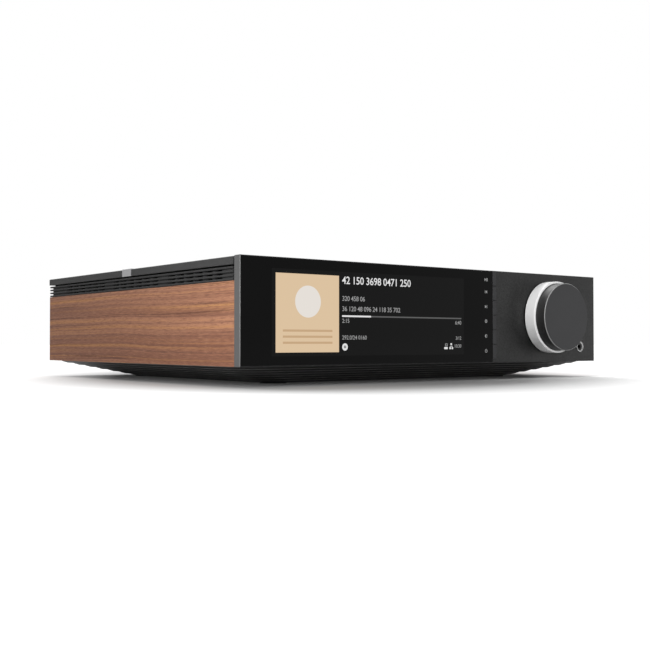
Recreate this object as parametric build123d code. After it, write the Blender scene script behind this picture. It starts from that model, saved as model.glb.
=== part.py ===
from build123d import *
import os
from math import cos, radians, sin, tan

# Streaming amplifier for a shelf or sideboard: a full-width front plate with a black glass, a column
# of keys and a double dial, walnut side panels, slotted side vents and a stepped base.
# The frame: +X is to the right seen from the front, +Y goes back and +Z is up. The origin is on the
# surface that the feet stand on, under the middle of the whole object.
# Heights named _up are above the front plate's lower edge, and places named _back are behind the
# front plate's face, because both are what the drawing is measured from. Shares named _across are of
# the whole width, counted from the left edge.

# Driving dimensions, millimetres

# Overall
width = 377.0
plate_height = 75.0
plate_thickness = 7.0
base_height = 14.0
body_depth = 324.2
knob_reach = 20.0
post_reach = 5.8

# Clearances that more than one fit uses
running_clearance = 0.05
slide_clearance = 0.15
drop_in_clearance = 0.1
hole_clearance = 0.15
sheet = 1.2

# Front plate and its glass
edge_break = 0.3
glass_lip = 0.6
glass_thickness = 2.0
seam_across = 0.648

# Display behind the glass
display_left_margin = 23.1
display_right_margin = 30.8
display_height = 65.2
display_up = 4.5
display_flange_overlap = 3.0
display_board_height = 52.0
display_board_left_gap = 56.2
display_board_key_gap = 3.0
display_spacer_length = 4.0
display_spacer_radius = 2.5
board_thickness = 1.6
processor_size = 16.0
processor_height = 2.4

# Column of keys between the glass and the bare metal
key_names = ["play_key", "skip_back_key", "skip_forward_key", "source_key", "home_key", "power_key"]
key_slot_width = 4.0
key_column_up = 3.0
key_split = 0.3
key_proud = 0.3
key_edge_round = 0.25
key_travel = 0.8
key_flange_width = 7.0
key_flange_thickness = 1.2
key_flange_gap = 0.3
key_stem_radius = 1.4
key_stem_length = 2.3
switch_body_size = 6.0
switch_body_length = 3.5
switch_bore_depth = 3.0
key_board_width = 28.0
key_board_post_radius = 2.0
key_window_margin = 4.0

# Double dial
dial_from_right = 63.5
dial_up = 38.0
knob_radius = 28.3
knob_wall = 2.8
knob_front_thickness = 3.0
knob_edge_break = 0.6
knob_boss_radius = 7.5
knob_boss_gap = 0.8
ring_radius = 30.3
ring_depth = 10.3
ring_gap = 0.6
ring_bevel_width = 0.4
ring_bevel_depth = 0.3
ring_nose_rise = 0.35
ring_web_thickness = 2.0
ring_web_recess = 0.3
ring_hub_radius = 9.0
ring_hub_length = 4.2
knob_ring_gap = 0.35
knob_web_gap = 0.8
spindle_radius = 3.0
bush_wall = 1.4
sleeve_wall = 1.0
sleeve_end_gap = 0.3
spindle_seat = 10.0
encoder_size = 32.0
encoder_length = 13.0
encoder_sleeve_depth = 6.0
encoder_bush_seat = 3.0
encoder_spindle_depth = 2.0
encoder_board_size = 38.0
dial_hole_gap = 0.5
encoder_boss_radius = 9.0

# Headphone socket
jack_from_right = 20.1
jack_up = 12.8
jack_bore_radius = 1.8
jack_tube_radius = 3.0
jack_tube_recess = 0.95
jack_body_width = 11.0
jack_body_height = 10.0
jack_body_length = 14.0
jack_bore_length = 17.0
jack_ring_radius = 4.5
jack_ring_proud = 0.5
jack_ring_wall = 0.8
jack_dish_radius = 2.3
jack_dish_depth = 0.7
jack_lip = 0.2

# Inner front frame
frame_floor_flange = 12.0
frame_top_flange = 10.0
frame_side_inset = 5.2
frame_top_gap = 0.4
frame_window_margin = 1.0

# Top cover and its tab
cover_drop = 0.4
cover_band = 5.5
cover_skin = 2.0
cover_wall = 2.5
cover_front_gap = 1.8
cover_edge_break = 0.4
tab_from_front = 158.9
tab_width = 15.5
tab_thickness = 1.2
tab_reach = 9.0
tab_proud = 0.4

# Side vents
vent_top_gap = 1.3
fin_count = 4
fin_thickness = 1.4
fin_pitch = 2.68
fin_reach = 5.0
vent_wall = 1.6
vent_leg_reach = 16.0
vent_rear_inset = 1.7
slot_groups = 3
slots_per_group = 6
slot_pitch = 13.3
slot_length = 10.8
slot_group_pitch = 93.0
slot_middle_from_front = 158.4
slot_relief = 0.08

# Walnut side panels
panel_thickness = 9.0
panel_bottom_gap = 0.1
panel_top_gap = 0.35
panel_rear_inset = 0.9
panel_edge_round = 0.4
magnet_radius = 5.0
magnet_thickness = 2.0
magnet_height = 29.0
magnet_rows = 4
magnet_pitch = 78.0

# Folded chassis tray
tray_flange = 11.0
tray_bend = 1.6
tray_tab_width = 10.0
tray_tab_low = 5.0
tray_tab_high = 52.0

# Stepped base
terrace_count = 7
terrace_side_inset = 3.05
terrace_side_step = 8.25
terrace_end_inset = 6.5
terrace_end_step = 6.3
terrace_corner = 20.0
terrace_slope_width = 5.0
terrace_slope_height = 1.5
base_floor = 4.0
base_wall = 7.0
base_boss_radius = 6.0
base_screw_side_gap = 26.0
base_screw_foot_gap = 21.8
foot_proud = 0.5
foot_seat = 1.5
foot_radius = 10.0
foot_inset = 16.0

# Fasteners
screw_radius = 1.5
screw_head_radius = 2.8
screw_head_height = 1.8
screw_drive_size = 1.6
screw_drive_depth = 0.9
fascia_screw_depth = 3.5
fascia_screw_inset = 10.5
fascia_screw_side_gap = 4.2
panel_screw_length = 4.0
base_screw_radius = 1.9
base_screw_head_radius = 3.6
base_screw_head_height = 2.2
base_screw_beyond = 3.0

# Rear panel, recessed under the cover's overhang
rear_recess = 12.2
rear_slot_count = 12
rear_slot_width = 2.2
rear_slot_height = 11.0
rear_slot_pitch = 6.0
rear_slots_across = 0.16
rear_slot_up = 50.0

# Mains inlet and switch
inlet_across = 0.113
inlet_up = 24.0
inlet_body_width = 27.0
inlet_body_height = 19.8
inlet_body_depth = 22.0
inlet_flange = 2.0
inlet_flange_thickness = 2.0
inlet_cavity_width = 24.4
inlet_cavity_height = 16.8
inlet_cavity_depth = 18.0
inlet_cavity_corner = 5.0
blade_width = 2.0
blade_height = 4.0
blade_spacing = 7.0
blade_raise = 2.0
blade_recess = 2.5
blade_tail = 6.0
rocker_across = 0.208
rocker_up = 24.0
rocker_radius = 8.0
rocker_width = 10.4
rocker_lean = 10.0
rocker_valley = 3.0
rocker_under = 3.2
rocker_well_gap = 0.3
rocker_pin_radius = 1.2
rocker_pin_length = 0.9
rocker_frame_wall = 1.7
rocker_flange = 1.8
rocker_flange_thickness = 1.8
rocker_body_depth = 14.0
rocker_pivot_depth = 3.0

# Speaker posts
post_count = 4
post_pitch = 24.0
post_up = 34.0
post_bore_radius = 2.0
post_bore_depth = 22.0
post_core_radius = 3.2
post_core_inside = 12.0
post_core_recess = 0.6
post_foot_radius = 7.4
post_foot_length = 3.0
post_nut_radius = 5.6
post_nut_length = 3.0
collar_radius = 6.2
collar_length = 1.5
cap_radius = 7.0
cap_end_round = 1.0
cap_flutes = 10
cap_flute_radius = 1.3
cap_seat_gap = 0.05

# Phono sockets
phono_columns = 3
phono_rows = 2
phono_pitch_x = 16.0
phono_pitch_z = 18.0
phono_across = 0.633
phono_up = 30.0
phono_radius = 4.15
phono_core_radius = 3.3
phono_hole_radius = 1.65
phono_hole_depth = 12.0
phono_length = 9.2
phono_core_recess = 0.6
phono_flange_radius = 5.6
phono_flange_thickness = 0.9
phono_block_depth = 12.0
phono_block_margin = 7.0

# Digital sockets on the main board's rear edge
socket_proud = 0.8
optical_across = 0.733
optical_size = 9.8
optical_mouth = 6.4
optical_depth = 9.0
optical_length = 13.5
lan_across = 0.794
lan_width = 16.0
lan_height = 13.6
lan_length = 20.0
lan_mouth_width = 11.8
lan_mouth_height = 6.8
lan_mouth_up = 3.0
lan_mouth_depth = 12.0
usb_across = 0.851
usb_width = 13.2
usb_height = 7.0
usb_length = 17.0
hdmi_across = 0.911
hdmi_width = 15.0
hdmi_height = 6.2
hdmi_length = 12.5
socket_skin = 0.5
tongue_side_gap = 1.6
tongue_thickness = 1.3
tongue_recess = 1.2
socket_floor = 3.0

# Boards inside
standoff_height = 8.0
standoff_across = 5.5
board_screw_radius = 1.4
board_screw_head_radius = 2.6
board_screw_head_height = 1.6
board_hole_inset = 5.0
main_board_rear_hole_inset = 15.0
board_rear_gap = 2.4
board_gap = 4.0
main_board_end_across = 0.938
main_board_length = 120.0
amp_board_start_across = 0.261
amp_board_length = 118.0
amp_board_rear_gap = 16.0
supply_board_start_across = 0.044
supply_board_end_across = 0.256
supply_board_length = 165.0
supply_board_rear_gap = 32.0
heatsink_side_gap = 5.0
heatsink_length = 64.0
heatsink_base = 4.0
heatsink_height = 30.0
heatsink_fins = 9
heatsink_fin_thickness = 1.6
transformer_width = 38.0
transformer_length = 34.0
transformer_height = 30.0
capacitor_radius = 8.0
capacitor_height = 34.0
capacitor_count = 4
capacitor_side_gap = 10.0
coil_radius = 8.0
coil_bore = 3.5
coil_height = 9.0
coil_count = 4
coil_side_gap = 14.0
radio_width = 22.0
radio_length = 30.0
radio_height = 3.0
cable_width = 18.0
cable_thickness = 0.4
cable_bend = 5.0
cable_sag_up = 6.0
cable_connector_height = 5.0
cable_connector_depth = 4.0
cable_connector_end_gap = 0.8

# Places worked out from the driving dimensions
half_width = width / 2
plate_front = knob_reach - (knob_reach + body_depth + post_reach) / 2
plate_back = plate_front + plate_thickness
plate_bottom = base_height
plate_top = base_height + plate_height
cover_front = plate_back + cover_front_gap
cover_rear = plate_front + body_depth
cover_top = plate_top - cover_drop
cover_bottom = cover_top - cover_band
cover_ceiling = cover_top - cover_skin
seam_x = seam_across * width - half_width
glass_back = plate_front + glass_thickness
frame_back = plate_back + sheet
tray_floor = plate_bottom + sheet
rear_front = cover_rear - rear_recess
rear_face = rear_front + sheet
fin_bottom = cover_bottom - vent_top_gap - (fin_count - 1) * fin_pitch - fin_thickness
panel_top = fin_bottom - panel_top_gap
board_bottom = tray_floor + standoff_height
board_top = board_bottom + board_thickness
dial_x = half_width - dial_from_right
dial_z = plate_bottom + dial_up
jack_x = half_width - jack_from_right
jack_z = plate_bottom + jack_up
key_x = seam_x + key_slot_width / 2
key_column_bottom = plate_bottom + key_column_up
key_column_top = plate_top - glass_lip
key_pitch = (key_column_top - key_column_bottom) / len(key_names)
display_left = display_left_margin - half_width
display_right = seam_x - display_right_margin
display_width = display_right - display_left
display_board_left = display_left + display_board_left_gap
display_board_right = key_x - key_board_width / 2 - display_board_key_gap
cable_connector_width = cable_width + cable_connector_depth
cable_x = display_board_right - cable_connector_end_gap - cable_connector_width / 2
display_bottom = plate_bottom + display_up
base_centre_y = plate_front + body_depth / 2
base_bottom = foot_proud
terrace_height = (base_height - foot_proud) / terrace_count
bush_radius = spindle_radius + bush_wall
sleeve_bore = bush_radius + running_clearance
sleeve_radius = sleeve_bore + sleeve_wall
web_front = plate_front - ring_gap - ring_web_recess - ring_web_thickness
hub_front = web_front - ring_hub_length
knob_front = plate_front - knob_reach
knob_back = web_front - knob_web_gap
encoder_front = frame_back
sleeve_back = encoder_front + encoder_sleeve_depth
bush_back = sleeve_back + encoder_bush_seat
spindle_back = bush_back + encoder_spindle_depth
post_rear = rear_face + rear_recess - sheet + post_reach
inlet_x = inlet_across * width - half_width
inlet_z = plate_bottom + inlet_up
rocker_x = rocker_across * width - half_width
rocker_z = plate_bottom + rocker_up
post_z = plate_bottom + post_up
phono_x = phono_across * width - half_width
phono_z = plate_bottom + phono_up
optical_x = optical_across * width - half_width
lan_x = lan_across * width - half_width
usb_x = usb_across * width - half_width
hdmi_x = hdmi_across * width - half_width
main_board_left = cable_x - cable_connector_width / 2 - 2 * board_hole_inset
main_board_right = main_board_end_across * width - half_width
amp_board_left = amp_board_start_across * width - half_width
amp_board_right = main_board_left - board_gap
supply_board_left = supply_board_start_across * width - half_width
supply_board_right = supply_board_end_across * width - half_width


def block(x, y, z):
    """A box between two X places, two Y places and two Z places."""
    middle = Pos((x[0] + x[1]) / 2, (y[0] + y[1]) / 2, (z[0] + z[1]) / 2)
    return middle * Box(abs(x[1] - x[0]), abs(y[1] - y[0]), abs(z[1] - z[0]))


def plate_of(x_middle, z_middle, wide, high, y):
    """A box centred on an X and a Z place, between two Y places."""
    return block((x_middle - wide / 2, x_middle + wide / 2), y, (z_middle - high / 2, z_middle + high / 2))


def rod_y(radius, x, z, y):
    """A round bar along Y."""
    return Pos(x, (y[0] + y[1]) / 2, z) * Rot(90, 0, 0) * Cylinder(radius, abs(y[1] - y[0]))


def rod_z(radius, x, y, z):
    """A round bar along Z."""
    return Pos(x, y, (z[0] + z[1]) / 2) * Cylinder(radius, abs(z[1] - z[0]))


def turned(outline, x, z):
    """A turned piece from its outline of radius and Y place, about a Y axis through x and z."""
    return Pos(x, 0, z) * revolve(make_face(Polyline(*outline, close=True)), axis=Axis.Y)


def along_depth(section, front, back):
    """Push a section of X and Z places from one Y place to another."""
    return extrude(Plane.XZ.offset(-front) * section, amount=front - back)


def side_x(side, inset):
    """The X place that lies inset from the left (-1) or right (1) face."""
    return side * (half_width - inset)


def cross_drive(x, y, z, facing):
    """A cross-shaped recess, cut into a screw head that faces +Y, -Y or -Z."""
    long = 2 * screw_drive_size
    deep = 2 * screw_drive_depth
    thin = screw_drive_size / 2
    if facing == "z":
        return Pos(x, y, z) * (Box(long, thin, deep) + Box(thin, long, deep))
    return Pos(x, y, z) * (Box(long, deep, thin) + Box(thin, deep, long))


# Front assembly

def fascia_screw_places():
    """X and Z places of the screws that hold the front plate to the inner frame."""
    right = half_width - panel_thickness - sheet - fascia_screw_side_gap
    left = -right
    middle = (display_right + seam_x - key_window_margin) / 2
    low = plate_bottom + fascia_screw_inset
    high = plate_top - fascia_screw_inset
    over_jack = jack_z + jack_body_width
    pairs = [(x, z) for x in (left, middle) for z in (low, high)]
    return pairs + [(right, over_jack), (right, high)]


def front_fascia():
    """Milled front plate with the glass pocket, display window, key slot and the dial and socket holes."""
    plate = block((-half_width, half_width), (plate_front, plate_back), (plate_bottom, plate_top))
    plate = chamfer(plate.edges().group_by(Axis.Y)[0], edge_break)
    pocket = block(
        (-half_width + glass_lip, seam_x),
        (plate_front - edge_break, glass_back),
        (plate_bottom + glass_lip, plate_top - glass_lip),
    )
    window = plate_of(
        display_left + display_width / 2,
        display_bottom + display_height / 2,
        display_width + 2 * drop_in_clearance,
        display_height + 2 * drop_in_clearance,
        (glass_back - edge_break, plate_back + edge_break),
    )
    slot = block(
        (seam_x, seam_x + key_slot_width),
        (plate_front - edge_break, plate_back + edge_break),
        (key_column_bottom, key_column_top),
    )
    through = (plate_front - edge_break, plate_back + edge_break)
    dial_hole = rod_y(sleeve_radius + dial_hole_gap, dial_x, dial_z, through)
    jack_hole = rod_y(jack_tube_radius + 2 * drop_in_clearance + jack_ring_wall, jack_x, jack_z, through)
    tapped = (plate_back - fascia_screw_depth - sheet, plate_back + sheet)
    taps = [rod_y(screw_radius + running_clearance, x, z, tapped) for x, z in fascia_screw_places()]
    return plate - pocket - window - slot - dial_hole - jack_hole - taps


def front_glass():
    """Black front glass, flush in its pocket."""
    return block(
        (-half_width + glass_lip + drop_in_clearance, seam_x - slide_clearance),
        (plate_front, glass_back),
        (plate_bottom + glass_lip + drop_in_clearance, plate_top - glass_lip - drop_in_clearance),
    )


def display_module():
    """Display panel in the plate's window, with a flange behind the plate."""
    x_middle = display_left + display_width / 2
    z_middle = display_bottom + display_height / 2
    panel = plate_of(x_middle, z_middle, display_width, display_height, (glass_back, plate_back))
    flange = plate_of(
        x_middle,
        z_middle,
        display_width + 2 * display_flange_overlap,
        display_height - 2 * display_flange_overlap,
        (plate_back, frame_back),
    )
    return panel + flange


def display_board():
    """Board behind the display on four spacers, with its processor and cable connector."""
    x_middle = (display_board_left + display_board_right) / 2
    z_middle = display_bottom + display_height / 2
    wide = display_board_right - display_board_left
    front = frame_back + display_spacer_length
    back = front + board_thickness
    board = plate_of(x_middle, z_middle, wide, display_board_height, (front, back))
    chip = plate_of(x_middle, z_middle, processor_size, processor_size, (back, back + processor_height))
    for x in (display_board_left + board_hole_inset, display_board_right - board_hole_inset):
        for up in (-1, 1):
            z = z_middle + up * (display_board_height / 2 - board_hole_inset)
            board += rod_y(display_spacer_radius, x, z, (front - display_spacer_length, front))
    return board + chip + display_connector()


def display_connector():
    """Cable connector low on the display board's back."""
    back = frame_back + display_spacer_length + board_thickness
    depth = (back, back + cable_connector_depth)
    return plate_of(cable_x, cable_start_z(), cable_connector_width, cable_connector_height, depth)


def front_subframe():
    """Folded inner front: a sheet behind the plate, a flange on the tray's floor and one under the cover."""
    outer = half_width - panel_thickness - drop_in_clearance
    ear = half_width - frame_side_inset
    wall = block((-outer, outer), (plate_back, frame_back), (tray_floor, fin_bottom))
    wall += block((-ear, ear), (plate_back, frame_back), (fin_bottom, cover_top - frame_top_gap))
    inner = half_width - panel_thickness - sheet
    foot_depth = (plate_back, frame_back + frame_floor_flange)
    floor_flange = block((-inner, inner), foot_depth, (tray_floor, tray_floor + sheet))
    head_inner = half_width - vent_leg_reach
    head_depth = (plate_back, frame_back + frame_top_flange)
    top_flange = block((-head_inner, head_inner), head_depth, (cover_bottom - sheet, cover_bottom))
    depth = (plate_back - sheet, frame_back + sheet)
    display_window = plate_of(
        display_left + display_width / 2,
        display_bottom + display_height / 2,
        display_width + 2 * display_flange_overlap + 2 * frame_window_margin,
        display_height - 2 * display_flange_overlap + 2 * frame_window_margin,
        depth,
    )
    key_window = block(
        (seam_x - key_window_margin, seam_x + key_slot_width + key_window_margin),
        depth,
        (tray_floor + 2 * sheet, cover_bottom),
    )
    key_notch = block(
        (key_x - key_board_width / 2 - key_flange_gap, key_x + key_board_width / 2 + key_flange_gap),
        (frame_back, frame_back + frame_top_flange + sheet),
        (cover_bottom - 2 * sheet, cover_bottom + sheet),
    )
    dial_hole = rod_y(encoder_boss_radius, dial_x, dial_z, depth)
    jack_hole = rod_y(jack_tube_radius + 2 * drop_in_clearance + jack_ring_wall, jack_x, jack_z, depth)
    holes = [rod_y(screw_radius + hole_clearance, x, z, depth) for x, z in fascia_screw_places()]
    folded = wall + floor_flange + top_flange
    return folded - display_window - key_window - key_notch - dial_hole - jack_hole - holes


def key_span(number):
    """Lowest and highest Z place of a key, counted from the top."""
    top = key_column_top - number * key_pitch
    return top - key_pitch + key_split / 2, top - key_split / 2


def flange_span(number):
    """Lowest and highest Z place of a key's flange, which stays inside the inner frame's window."""
    low, high = key_span(number)
    return max(low, tray_floor + 2 * sheet + slide_clearance), min(high, cover_bottom - key_flange_gap)


def front_key(number):
    """One key: the bar in the slot, the flange behind the plate and the stem in its switch."""
    flange_low, flange_high = flange_span(number)
    flange_front = plate_back + key_flange_gap
    flange_back = flange_front + key_flange_thickness
    bar_back = plate_back - key_travel - key_flange_gap
    half = key_slot_width / 2 - slide_clearance
    bar = block((key_x - half, key_x + half), (plate_front - key_proud, bar_back), key_span(number))
    bar = fillet(bar.edges().group_by(Axis.Y)[0], key_edge_round)
    neck = block((key_x - half, key_x + half), (bar_back, flange_front), (flange_low, flange_high))
    flange = block(
        (key_x - key_flange_width / 2, key_x + key_flange_width / 2),
        (flange_front, flange_back),
        (flange_low, flange_high),
    )
    stem_z = (flange_low + flange_high) / 2
    stem = rod_y(key_stem_radius, key_x, stem_z, (flange_back, flange_back + key_stem_length))
    return bar + neck + flange + stem


def key_board():
    """Board with six switches behind the keys, on two posts from the inner frame."""
    flange_back = plate_back + key_flange_gap + key_flange_thickness
    switch_front = flange_back + key_travel + key_flange_gap
    board_front = switch_front + switch_body_length
    bottom = flange_span(len(key_names) - 1)[0]
    top = flange_span(0)[1]
    board = block(
        (key_x - key_board_width / 2, key_x + key_board_width / 2),
        (board_front, board_front + board_thickness),
        (bottom, top),
    )
    for number in range(len(key_names)):
        z = sum(flange_span(number)) / 2
        body = plate_of(key_x, z, switch_body_size, switch_body_size, (switch_front, board_front))
        bored = (switch_front, switch_front + switch_bore_depth)
        board += body - rod_y(key_stem_radius + drop_in_clearance, key_x, z, bored)
    post_x = key_x + key_board_width / 2 - 2 * key_board_post_radius
    for z in (bottom + 2 * key_board_post_radius, top - 2 * key_board_post_radius):
        board += rod_y(key_board_post_radius, post_x, z, (frame_back, board_front))
    return board


# Double dial

def volume_knob():
    """Turned inner knob: a cup with a boss that is pressed on the spindle."""
    front_inner = knob_front + knob_front_thickness
    boss_back = hub_front - knob_boss_gap
    bore = spindle_radius
    outline = [
        (0, knob_front),
        (knob_radius - knob_edge_break, knob_front),
        (knob_radius, knob_front + knob_edge_break),
        (knob_radius, knob_back),
        (knob_radius - knob_wall, knob_back),
        (knob_radius - knob_wall, front_inner),
        (knob_boss_radius, front_inner),
        (knob_boss_radius, boss_back),
        (bore, boss_back),
        (bore, boss_back - spindle_seat),
        (0, boss_back - spindle_seat),
    ]
    return turned(outline, dial_x, dial_z)


def knob_spindle():
    """Steel spindle from the knob's boss to the back of the encoder."""
    return rod_y(spindle_radius, dial_x, dial_z, (hub_front - knob_boss_gap - spindle_seat, spindle_back))


def selector_ring():
    """Bright outer ring: a band round the knob on a web and hub."""
    back = plate_front - ring_gap
    nose = back - ring_depth
    inner = knob_radius + knob_ring_gap
    outline = [
        (sleeve_radius, web_front + ring_web_thickness),
        (inner, web_front + ring_web_thickness),
        (inner, back),
        (ring_radius - ring_bevel_depth, back),
        (ring_radius, back - ring_bevel_depth),
        (ring_radius, nose + ring_nose_rise + ring_bevel_depth),
        (ring_radius - ring_bevel_width, nose + ring_nose_rise),
        (inner, nose),
        (inner, web_front),
        (ring_hub_radius, web_front),
        (ring_hub_radius, hub_front),
        (sleeve_radius, hub_front),
    ]
    return turned(outline, dial_x, dial_z)


def ring_sleeve():
    """Hollow shaft that carries the outer ring and turns on the bush."""
    outer = rod_y(sleeve_radius, dial_x, dial_z, (hub_front, sleeve_back - sleeve_end_gap))
    return outer - rod_y(sleeve_bore, dial_x, dial_z, (hub_front - sheet, sleeve_back + sheet))


def encoder_bush():
    """Fixed bush between the spindle and the hollow shaft."""
    outer = rod_y(bush_radius, dial_x, dial_z, (hub_front, bush_back))
    through = (hub_front - sheet, bush_back + sheet)
    return outer - rod_y(spindle_radius + running_clearance, dial_x, dial_z, through)


def dual_encoder():
    """Housing that reads both shafts, with its board, behind the inner frame."""
    back = encoder_front + encoder_length
    body = plate_of(dial_x, dial_z, encoder_size, encoder_size, (encoder_front, back))
    body += plate_of(dial_x, dial_z, encoder_board_size, encoder_board_size, (back, back + board_thickness))
    body -= rod_y(sleeve_radius + running_clearance, dial_x, dial_z, (encoder_front - sheet, sleeve_back))
    body -= rod_y(bush_radius, dial_x, dial_z, (sleeve_back - sheet, bush_back))
    end = (bush_back - sheet, spindle_back + sheet)
    return body - rod_y(spindle_radius + running_clearance, dial_x, dial_z, end)


# Headphone socket

def headphone_jack():
    """Socket body behind the plate, with the bored tube that comes through it."""
    mouth = plate_front + jack_tube_recess
    tube = rod_y(jack_tube_radius, jack_x, jack_z, (mouth, frame_back))
    depth = (frame_back, frame_back + jack_body_length)
    body = plate_of(jack_x, jack_z, jack_body_width, jack_body_height, depth)
    bore = rod_y(jack_bore_radius, jack_x, jack_z, (mouth - sheet, mouth + jack_bore_length))
    return tube + body - bore


def jack_ring():
    """Polished dished ring round the socket, screwed over its tube."""
    inner = jack_tube_radius + drop_in_clearance
    outer = inner + jack_ring_wall
    outline = [
        (jack_dish_radius, plate_front + jack_dish_depth),
        (jack_ring_radius - jack_lip, plate_front - jack_ring_proud),
        (jack_ring_radius, plate_front - jack_ring_proud + jack_lip),
        (jack_ring_radius, plate_front),
        (outer, plate_front),
        (outer, plate_back),
        (inner, plate_back),
        (inner, plate_front + jack_tube_recess),
        (jack_dish_radius, plate_front + jack_tube_recess),
    ]
    return turned(outline, jack_x, jack_z)


# Casing

def tab_section(clearance):
    """The L-shaped section of the tab, which wraps the cover's left top edge."""
    left = -half_width
    low = cover_bottom - clearance
    high = cover_top + tab_proud
    inner_x = left + tab_thickness + clearance
    inner_z = high - tab_thickness - clearance
    reach_x = left + tab_reach + clearance
    outline = [
        (left, low),
        (inner_x, low),
        (inner_x, inner_z),
        (reach_x, inner_z),
        (reach_x, high),
        (left, high),
    ]
    return make_face(Polyline(*outline, close=True))


def top_cover():
    """Lid with a deep rim, open below, notched for the tab."""
    lid = block((-half_width, half_width), (cover_front, cover_rear), (cover_bottom, cover_top))
    lid = chamfer(lid.edges().group_by(Axis.Z)[-1], cover_edge_break)
    hollow = block(
        (-half_width + cover_wall, half_width - cover_wall),
        (cover_front + cover_wall, cover_rear - cover_wall),
        (cover_bottom - cover_wall, cover_ceiling),
    )
    start = plate_front + tab_from_front - drop_in_clearance / 2
    end = plate_front + tab_from_front + tab_width + drop_in_clearance / 2
    return lid - hollow - along_depth(tab_section(running_clearance), start, end)


def cover_tab():
    """Bare tab let into the cover's edge."""
    start = plate_front + tab_from_front
    return along_depth(tab_section(0), start, start + tab_width)


def vent_grille(side):
    """Side vent: four fins on a slotted wall, with a leg on the tray's flange."""
    front = cover_front
    back = cover_rear - vent_rear_inset
    outer = side_x(side, fin_reach)
    inner = side_x(side, fin_reach + vent_wall)
    grille = block((outer, inner), (front, back), (fin_bottom, cover_bottom))
    under_rim = (cover_front + cover_wall + drop_in_clearance, cover_rear - cover_wall - drop_in_clearance)
    grille += block((outer, inner), under_rim, (cover_bottom, cover_ceiling))
    for number in range(fin_count):
        low = fin_bottom + number * fin_pitch
        grille += block((side_x(side, 0), inner), (front, back), (low, low + fin_thickness))
    leg = (side_x(side, fin_reach), side_x(side, vent_leg_reach))
    leg_depth = (frame_back + frame_top_flange, rear_front)
    grille += block(leg, leg_depth, (fin_bottom, fin_bottom + fin_thickness))
    return grille - vent_slots(side)


def vent_slots(side):
    """The slots in the vent's wall: rows between the fins, in groups along the depth."""
    gap = fin_pitch - fin_thickness
    through = (side_x(side, fin_reach - slot_relief), side_x(side, fin_reach + 2 * vent_wall))
    slots = []
    for row in range(fin_count - 1):
        low = fin_bottom + fin_thickness + row * fin_pitch + slot_relief
        for group in range(slot_groups):
            middle = slot_middle_from_front + (group - (slot_groups - 1) / 2) * slot_group_pitch
            for number in range(slots_per_group):
                y = plate_front + middle + (number - (slots_per_group - 1) / 2) * slot_pitch
                ends = (y - slot_length / 2, y + slot_length / 2)
                slots.append(block(through, ends, (low, low + gap - 2 * slot_relief)))
    return slots


def magnet_places():
    """Y places of the magnets along a side panel."""
    middle = (plate_back + cover_rear) / 2
    return [middle + (number - (magnet_rows - 1) / 2) * magnet_pitch for number in range(magnet_rows)]


def magnet(side, y, radius):
    """A disc magnet, or its pocket, in the inner face of a side panel."""
    x = side_x(side, panel_thickness - magnet_thickness / 2)
    return Pos(x, y, plate_bottom + magnet_height) * Rot(0, 90, 0) * Cylinder(radius, magnet_thickness)


def side_panel(side):
    """Walnut side panel with magnet pockets in its inner face."""
    panel = block(
        (side_x(side, 0), side_x(side, panel_thickness)),
        (plate_back + drop_in_clearance, cover_rear - panel_rear_inset),
        (plate_bottom + panel_bottom_gap, panel_top),
    )
    panel = fillet(panel.edges().filter_by(Axis.Z).group_by(Axis.Y)[-1], panel_edge_round)
    return panel - [magnet(side, y, magnet_radius + drop_in_clearance) for y in magnet_places()]


def panel_magnets():
    """Magnets that hold both side panels to the steel tray."""
    return Part() + [magnet(side, y, magnet_radius) for side in (-1, 1) for y in magnet_places()]


def rear_screw_places():
    """X and Z places of the screws that hold the rear panel."""
    x = half_width - panel_thickness - sheet - tray_tab_width / 2
    low = plate_bottom + tray_tab_low + 2 * screw_head_radius
    high = plate_bottom + tray_tab_high - 2 * screw_head_radius
    return [(side * x, z) for side in (-1, 1) for z in (low, high)]


def base_screw_places():
    """X and Y places of the screws that hold the base to the tray, in two rows of three."""
    wide, deep = terrace_size(terrace_count - 1)
    x = wide / 2 - base_screw_side_gap
    y = deep / 2 - foot_inset - base_screw_foot_gap
    return [(side * x, base_centre_y + row) for side in (-1, 1) for row in (-y, 0, y)]


def chassis_tray():
    """Folded steel tray: floor, two walls with flanges on top, and tabs for the rear panel."""
    out = half_width - panel_thickness
    inn = out - sheet
    lip = out - tray_flange
    under = fin_bottom - sheet
    right_half = [
        (0, plate_bottom),
        (out, plate_bottom),
        (out, fin_bottom),
        (lip, fin_bottom),
        (lip, under),
        (inn, under),
        (inn, tray_floor),
        (0, tray_floor),
    ]
    left_half = [(-x, z) for x, z in reversed(right_half[1:-1])]
    tray = along_depth(make_face(Polyline(*right_half, *left_half, close=True)), frame_back, rear_front)
    tray = fillet(tray.edges().filter_by(Axis.Y).group_by(Axis.Z)[0], tray_bend)
    for side in (-1, 1):
        tray += block(
            (side * inn, side * (inn - tray_tab_width)),
            (rear_front - sheet, rear_front),
            (plate_bottom + tray_tab_low, plate_bottom + tray_tab_high),
        )
    rear_holes = [
        rod_y(screw_radius + running_clearance, x, z, (rear_front - 2 * sheet, rear_front + sheet))
        for x, z in rear_screw_places()
    ]
    floor_holes = [
        rod_z(base_screw_radius + running_clearance, x, y, (plate_bottom - sheet, tray_floor + sheet))
        for x, y in base_screw_places()
    ]
    return tray - rear_holes - floor_holes


# Stepped base

def terrace_size(level):
    """Width and depth of a terrace, counted from the top."""
    wide = width - 2 * (terrace_side_inset + level * terrace_side_step)
    deep = body_depth - 2 * (terrace_end_inset + level * terrace_end_step)
    return wide, deep


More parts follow.
